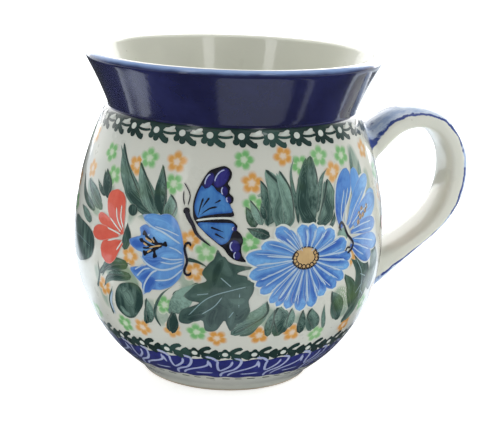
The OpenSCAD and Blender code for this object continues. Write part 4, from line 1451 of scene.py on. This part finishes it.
orangePlaces = [
    (-64.7, 24.5), (-37.4, 29.4), (-20.5, 32), (7.9, 27.3), (20.3, 34.6), (41.9, 28.8), (-12.9, 10.8),
    (-35.3, 3.5), (-10.8, 1.9), (-48.8, -8.3), (-32.6, -18.8), (-19.6, -17.6), (-3, -19), (12.4, -17.8),
    (25.3, -17.8), (53.2, -20.1), (47.6, 3.4), (-73, 34), (66, 33)]
greenPlaces = [
    (-53.2, 31.2), (-48.2, 25.1), (-32.2, 32), (-20.5, 25.8), (4.9, 33.7), (27, 31.8), (36.2, 33.8),
    (48.3, 33.1), (8.2, 21.2), (7.3, 10.7), (-21.6, -9.2), (-41.4, -19.3), (-10.4, -17.2), (36.6, -19.9),
    (-7.3, 7.8), (-61, -19.5), (62, -14)]


def blossoms(turn):
    for paint, places in ((orangeStamps, orangePlaces), (greenStamps, greenPlaces)):
        for place in places:
            radius = 3.5 + dice.uniform(-0.2, 0.2)
            stampBlossom(paint, (place[0] + turn, place[1]), radius, dice.uniform(0, 2),
                         dice.uniform(0.05, 0.6))


def bouquet(turn):
    blossoms(turn)
    underWashes(turn)
    leftLeaves(turn)
    lowerLeaves(turn)
    rightLeaves(turn)
    coralFlower(turn)
    leftBell(turn)
    daisy(turn)
    rightBell(turn)
    mapleLeaf(turn)
    butterfly(turn)


def sidePosy(turn):
    # a smaller spray between the two bouquets: a coral flower with leaves and blossoms round it
    for spine, width, tone in [
            ([(-6, 32), (-4, 26), (-1, 20)], 4.6, 0.4), ([(3, 34), (3.5, 27), (1.5, 20)], 5.2, 0.2),
            ([(11, 28), (8.5, 23), (4, 18)], 4.2, 0.55), ([(-13, 8), (-8, 10), (-3, 12)], 4.4, 0.3),
            ([(14, 5), (9, 8), (4, 11)], 4.4, 0.15), ([(-10, -14), (-5, -8), (-1, -2)], 5.4, 0.35),
            ([(9, -15), (6, -9), (2, -2)], 5.2, 0.2), ([(0, -17), (0.5, -10), (0.5, -3)], 3.4, 0.6),
            ([(-13, -4), (-8, -2), (-3, 2)], 3.6, 0.5), ([(14, -6), (9, -3), (4, 1)], 3.6, 0.42)]:
        leaf(turn, spine, width, tone)
    for spine, width in [
            ([(0, 6), (-1.5, 11), (-2.0, 16.6)], 6.6), ([(1, 6), (5.5, 9.5), (9.4, 13.4)], 5.2),
            ([(-1, 5), (-6.5, 7.2), (-11.5, 9.0)], 4.6), ([(0.5, 4), (5.2, 2.2), (10, 0.4)], 4.8),
            ([(-0.5, 4), (-4.2, 0.4), (-7.2, -3.4)], 5.0)]:
        brushStroke(coralPetals, spine, width, "petal", 0.4, turn=turn)
    for spine in [[(-1.2, 13), (-0.4, 8)], [(6.4, 10.6), (2.0, 7)], [(-7.6, 7.6), (-2.2, 5.8)],
                  [(6.6, 1.6), (2.2, 3.8)], [(-4.6, -0.2), (-1.4, 3.2)]]:
        brushStroke(coralLines, spine, 0.45, "line", 0.6, turn=turn)
    fillShape(blackLines, discOutline(0, 5.2, 1.9, count=16), 0.3, lift=0.225, turn=turn)
    fillShape(flowerEyes, discOutline(0, 5.2, 1.5, count=16), 0.5, lift=0.231, turn=turn)
    for paint, places in (
            (orangeStamps, [(-2.5, 25), (-11, 18), (12, 19), (-15.0, -12), (1.5, -20)]),
            (greenStamps, [(-12.5, 25), (8.4, 33.6), (-4.5, 20), (15, -13), (-8, -19), (14.5, 12)])):
        for place in places:
            stampBlossom(paint, (place[0] + turn, place[1]), 3.5, dice.uniform(0, 2), dice.uniform(0.05, 0.6))


bouquet(0)
bouquet(180)
sidePosy(88)
sidePosy(-92)
for name, paint, key in [
        ("greenVines", vineGreen, "vine"), ("vineReserves", vineCream, "cream"),
        ("cobaltPetalBand", bandCobalt, "cobalt"), ("petalBandLines", bandLines, "bandLine"),
        ("leafWashes", leafWashes, "leafWash"), ("brushLeaves", leaves, "leaf"),
        ("mapleLeaves", mapleLeaves, "maple"), ("leafVeins", leafVeins, "mistLine"),
        ("coralPetals", coralPetals, "coral"), ("bluePetals", bluePetals, "blue"),
        ("petalReserves", reserves, "cream"), ("petalLines", petalLines, "petalLine"),
        ("coralLines", coralLines, "cream"), ("blackLinework", blackLines, "black"),
        ("wingCells", wingCells, "wing"), ("wingLobes", wingLobes, "navy"),
        ("wingCrescents", wingLines, "bandLine"), ("flowerEyes", flowerEyes, "tan")]:
    paintPiece(name, paint, paints[key])
paintPiece("orangeBlossoms", orangeStamps, stamps["orange"])
paintPiece("greenBlossoms", greenStamps, stamps["green"])
print("bouquets painted")


# floor, light and camera

cameraLook = {
    "swing": 11.76,  # how far the camera stands round from the handle's side view
    "distance": 374.24,
    "height": 145.25,
    "yaw": 1.012,
    "pitch": 14.745,
    "roll": 2.074,
    "lens": 88.64,
}
studioLook = {
    "tent": 0.92,  # how much of the white tent's light falls on the clay
    "cameraSide": 0.12,  # how bright the room is behind the camera
    "darkFrom": 0.15,
    "darkTo": 0.60,
    "mirrorDarkFrom": -0.64,  # the glaze mirrors more of the dark room than the clay is shaded by
    "mirrorDarkTo": -0.25,
    "floor": 0.92,
    "floorGlow": 0.6,
    "floorLift": 0.34,  # light that the lit sweep sends up on to the clay
    "floorReach": 2.2,
    "aim": 0.05,  # height that the boxes face, in metres
    # painted reflections, seen only in the glaze: patches of the sweep painted dark for the room or bright
    # in place of white card; how far each runs to the right and towards the camera in metres, how its sides
    # slant, how bright it is and how soft its edges are; later ones on top
    "paintedReflections": [
        {"side": (-0.55, 0.55), "out": (-0.10, 1.2), "slant": 0.0, "level": 0.06, "soft": 0.012},
        {"side": (-0.45, -0.128), "out": (-0.70, -0.06), "slant": 0.089, "level": 0.06, "soft": 0.008},
        {"side": (-0.021, 0.080), "out": (0.062, 0.145), "slant": 0.0, "level": 0.60, "soft": 0.004},
        {"side": (-0.200, -0.100), "out": (-0.046, 0.026), "slant": 0.0, "level": 1.3, "soft": 0.004},
        {"side": (-0.200, -0.136), "out": (-0.030, 0.000), "slant": 0.0, "level": 0.30, "soft": 0.012},
        {"side": (0.085, 0.094), "out": (0.020, 0.110), "slant": -0.25, "level": 0.75, "soft": 0.004},
        {"side": (0.125, 0.300), "out": (-0.200, -0.060), "slant": 0.0, "level": 1.2, "soft": 0.004},
        {"side": (0.156, 0.172), "out": (-0.36, -0.090), "slant": 0.0, "level": 0.08, "soft": 0.004},
        {"side": (-0.120, -0.016), "out": (-0.190, -0.012), "slant": 0.0, "level": 1.35, "soft": 0.016},
        {"side": (0.016, 0.120), "out": (-0.190, -0.022), "slant": 0.0, "level": 1.35, "soft": 0.016}],
    "footReflectionRadius": 0.0302,  # radius of the painted reflection round the foot, seen only in the glaze
    # level of the painted reflection round the foot
    "footReflectionLevel": 0.12,
    # each box: turn from the camera and climb in degrees, distance, width and height in metres,
    # brightness, whether it is there for the glaze to mirror or to light the clay
    "boxes": {
        "topBox": (0, 84, 0.9, 0.9, 0.9, 1.1, False),
        "leftBox": (-68, 20, 0.9, 0.35, 0.7, 1.8, False),
        "rightBox": (72, 18, 0.9, 0.45, 0.8, 2.2, False),
        "backBox": (-160, 40, 0.9, 0.6, 0.5, 1.6, False),
        "leftWindow": (-40, 47, 0.9, 0.13, 0.30, 2.8, True),
        "rightWindow": (29, 45, 0.9, 0.13, 0.22, 2.8, True),
        "leftStreak": (-37, 14, 0.9, 0.10, 0.42, 1.5, True),
        "rightEdge": (154, 12, 0.95, 0.70, 1.0, 2.4, True),
        "leftEdge": (-160, 12, 0.95, 0.58, 1.0, 1.15, True),
    },
}
swing = math.radians(cameraLook["swing"])
towardsCamera = Vector((-math.sin(swing), -math.cos(swing), 0))
rightward = Vector((math.cos(swing), -math.sin(swing), 0))


def distanceAlong(tree, place, direction):
    node = addNode(tree, "VectorMath", {"operation": "DOT_PRODUCT"}, i0=place, i1=tuple(direction))
    return node.outputs["Value"]


def makeFloor():
    # a white sweep; glossy rays see a painted reflection on it instead: the room in front dark, with bright
    # patches painted in place of white card lying there
    material, tree, shader = newMaterial("whiteSweepPaintedReflection")
    shader.inputs["Base Color"].default_value = (studioLook["floor"],) * 3 + (1,)
    shader.inputs["Roughness"].default_value = 0.9
    place = addNode(tree, "TexCoord").outputs["Object"]
    out = distanceAlong(tree, place, towardsCamera)
    side = distanceAlong(tree, place, rightward)

    def between(value, low, high, soft):
        return calc(tree, "MULTIPLY", fade(tree, value, low - soft, low + soft), calc(
            tree, "SUBTRACT", 1.0, fade(tree, value, high - soft, high + soft)))

    def layOver(seen, level, share):
        return addNode(tree, "Mix", i0=share, i2=seen, i3=level).outputs[0]

    # the painted reflection, built up patch by patch
    seen = 1.0
    for reflectionPatch in studioLook["paintedReflections"]:
        slant = calc(tree, "ADD", side, calc(tree, "MULTIPLY", out, reflectionPatch["slant"]))
        share = calc(tree, "MULTIPLY", between(slant, *reflectionPatch["side"], reflectionPatch["soft"]), between(
            out, *reflectionPatch["out"], reflectionPatch["soft"]))
        seen = layOver(seen, reflectionPatch["level"], share)
    # painted reflection round the foot: inside this radius the glaze sees its own set level
    radius = addNode(tree, "VectorMath", {"operation": "LENGTH"}, i0=place).outputs["Value"]
    footEdge = fade(tree, radius, studioLook["footReflectionRadius"] - 0.0008, studioLook["footReflectionRadius"])
    footReflectionMask = calc(tree, "SUBTRACT", 1.0, footEdge)
    seen = layOver(seen, studioLook["footReflectionLevel"], footReflectionMask)
    glow = addNode(tree, "Emission", Color=(0.84, 0.92, 1.0, 1), Strength=seen)
    path = addNode(tree, "LightPath")
    shader.inputs["Emission Color"].default_value = (1, 1, 1, 1)
    sent = calc(tree, "MULTIPLY", path.outputs["Is Camera Ray"], studioLook["floorGlow"])
    lift = calc(tree, "MULTIPLY", path.outputs["Is Diffuse Ray"], studioLook["floorLift"])
    tree.links.new(calc(tree, "ADD", sent, lift), shader.inputs["Emission Strength"])
    # glossy rays see the painted reflection, all other rays the white sweep
    mirrored = path.outputs["Is Glossy Ray"]
    mix = addNode(tree, "MixShader", i0=mirrored, i1=shader.outputs[0], i2=glow.outputs[0])
    tree.links.new(mix.outputs[0], tree.nodes["Material Output"].inputs["Surface"])
    size = studioLook["floorReach"]
    mesh = bpy.data.meshes.new("floor")
    mesh.from_pydata([(-size, -size, 0), (size, -size, 0), (size, size, 0), (-size, size, 0)], [],
    [(0, 1, 2, 3)])
    floor = bpy.data.objects.new("floor", mesh)
    bpy.context.scene.collection.objects.link(floor)
    mesh.materials.append(material)


def makeTent():
    # white light from the sides, the back and above, less from where the camera stands
    world = bpy.data.worlds.new("lightTent")
    bpy.context.scene.world = world
    world.use_nodes = True
    tree = world.node_tree
    background = tree.nodes["Background"]
    place = addNode(tree, "TexCoord").outputs["Generated"]
    facing = distanceAlong(tree, place, towardsCamera)
    path = addNode(tree, "LightPath")
    climb = addNode(tree, "SeparateXYZ", Vector=place).outputs["Z"]
    shaded = fade(tree, facing, studioLook["darkFrom"], studioLook["darkTo"])
    mirrored = fade(tree, facing, studioLook["mirrorDarkFrom"], studioLook["mirrorDarkTo"])
    mirrored = calc(tree, "MULTIPLY", mirrored, calc(tree, "SUBTRACT", 1.0, fade(tree, climb, 0.70, 0.92)))
    dark = calc(tree, "MAXIMUM", shaded, calc(tree, "MULTIPLY", mirrored, path.outputs["Is Glossy Ray"]))
    level = calc(tree, "SUBTRACT", 1.0, calc(tree, "MULTIPLY", dark, 1 - studioLook["cameraSide"]))
    soft = addNode(tree, "Mix", i0=path.outputs["Is Diffuse Ray"], i2=1.0, i3=studioLook["tent"]).outputs[0]
    level = calc(tree, "MULTIPLY", level, soft)
    level = calc(tree, "MAXIMUM", level, path.outputs["Is Camera Ray"])
    tree.links.new(level, background.inputs["Strength"])
    background.inputs["Color"].default_value = (1.0, 1.0, 1.0, 1)


def softBox(name, turn, climb, distance, width, height, brightness, mirrored):
    # a rectangular light that faces the mug
    around = math.radians(turn)
    level = towardsCamera * math.cos(around) + rightward * math.sin(around)
    away = level * math.cos(math.radians(climb)) + Vector((0, 0, math.sin(math.radians(climb))))
    middle = Vector((0, 0, studioLook["aim"]))
    light = bpy.data.lights.new(name, "AREA")
    light.shape = "RECTANGLE"
    light.size, light.size_y = width, height
    light.energy = brightness * math.pi * width * height
    lamp = bpy.data.objects.new(name, light)
    bpy.context.scene.collection.objects.link(lamp)
    lamp.location = middle + away * distance
    lamp.rotation_euler = away.to_track_quat("Z", "Y").to_euler()
    lamp.visible_glossy = mirrored
    lamp.visible_diffuse = not mirrored
    lamp.visible_camera = False


def makeCamera():
    yaw, pitch, roll = (math.radians(cameraLook[key]) for key in ("yaw", "pitch", "roll"))
    forward = Vector((math.sin(yaw) * math.cos(pitch), math.cos(yaw) * math.cos(pitch), -math.sin(pitch)))
    forward = Matrix.Rotation(-swing, 3, "Z") @ forward
    right = forward.cross(Vector((0, 0, 1))).normalized()
    up = right.cross(forward)
    cameraRight = right * math.cos(roll) + up * math.sin(roll)
    cameraUp = up * math.cos(roll) - right * math.sin(roll)
    data = bpy.data.cameras.new("camera")
    data.lens = cameraLook["lens"]
    data.sensor_width = 36.0
    data.clip_start = 0.01
    camera = bpy.data.objects.new("camera", data)
    bpy.context.scene.collection.objects.link(camera)
    place = towardsCamera * cameraLook["distance"] * mm
    place.z = cameraLook["height"] * mm
    matrix = Matrix((cameraRight, cameraUp, -forward)).transposed().to_4x4()
    matrix.translation = place
    camera.matrix_world = matrix
    bpy.context.scene.camera = camera


makeFloor()
makeTent()
for name, box in studioLook["boxes"].items():
    softBox(name, *box)
makeCamera()
bpy.context.scene.view_settings.view_transform = "Standard"
print("studio set")
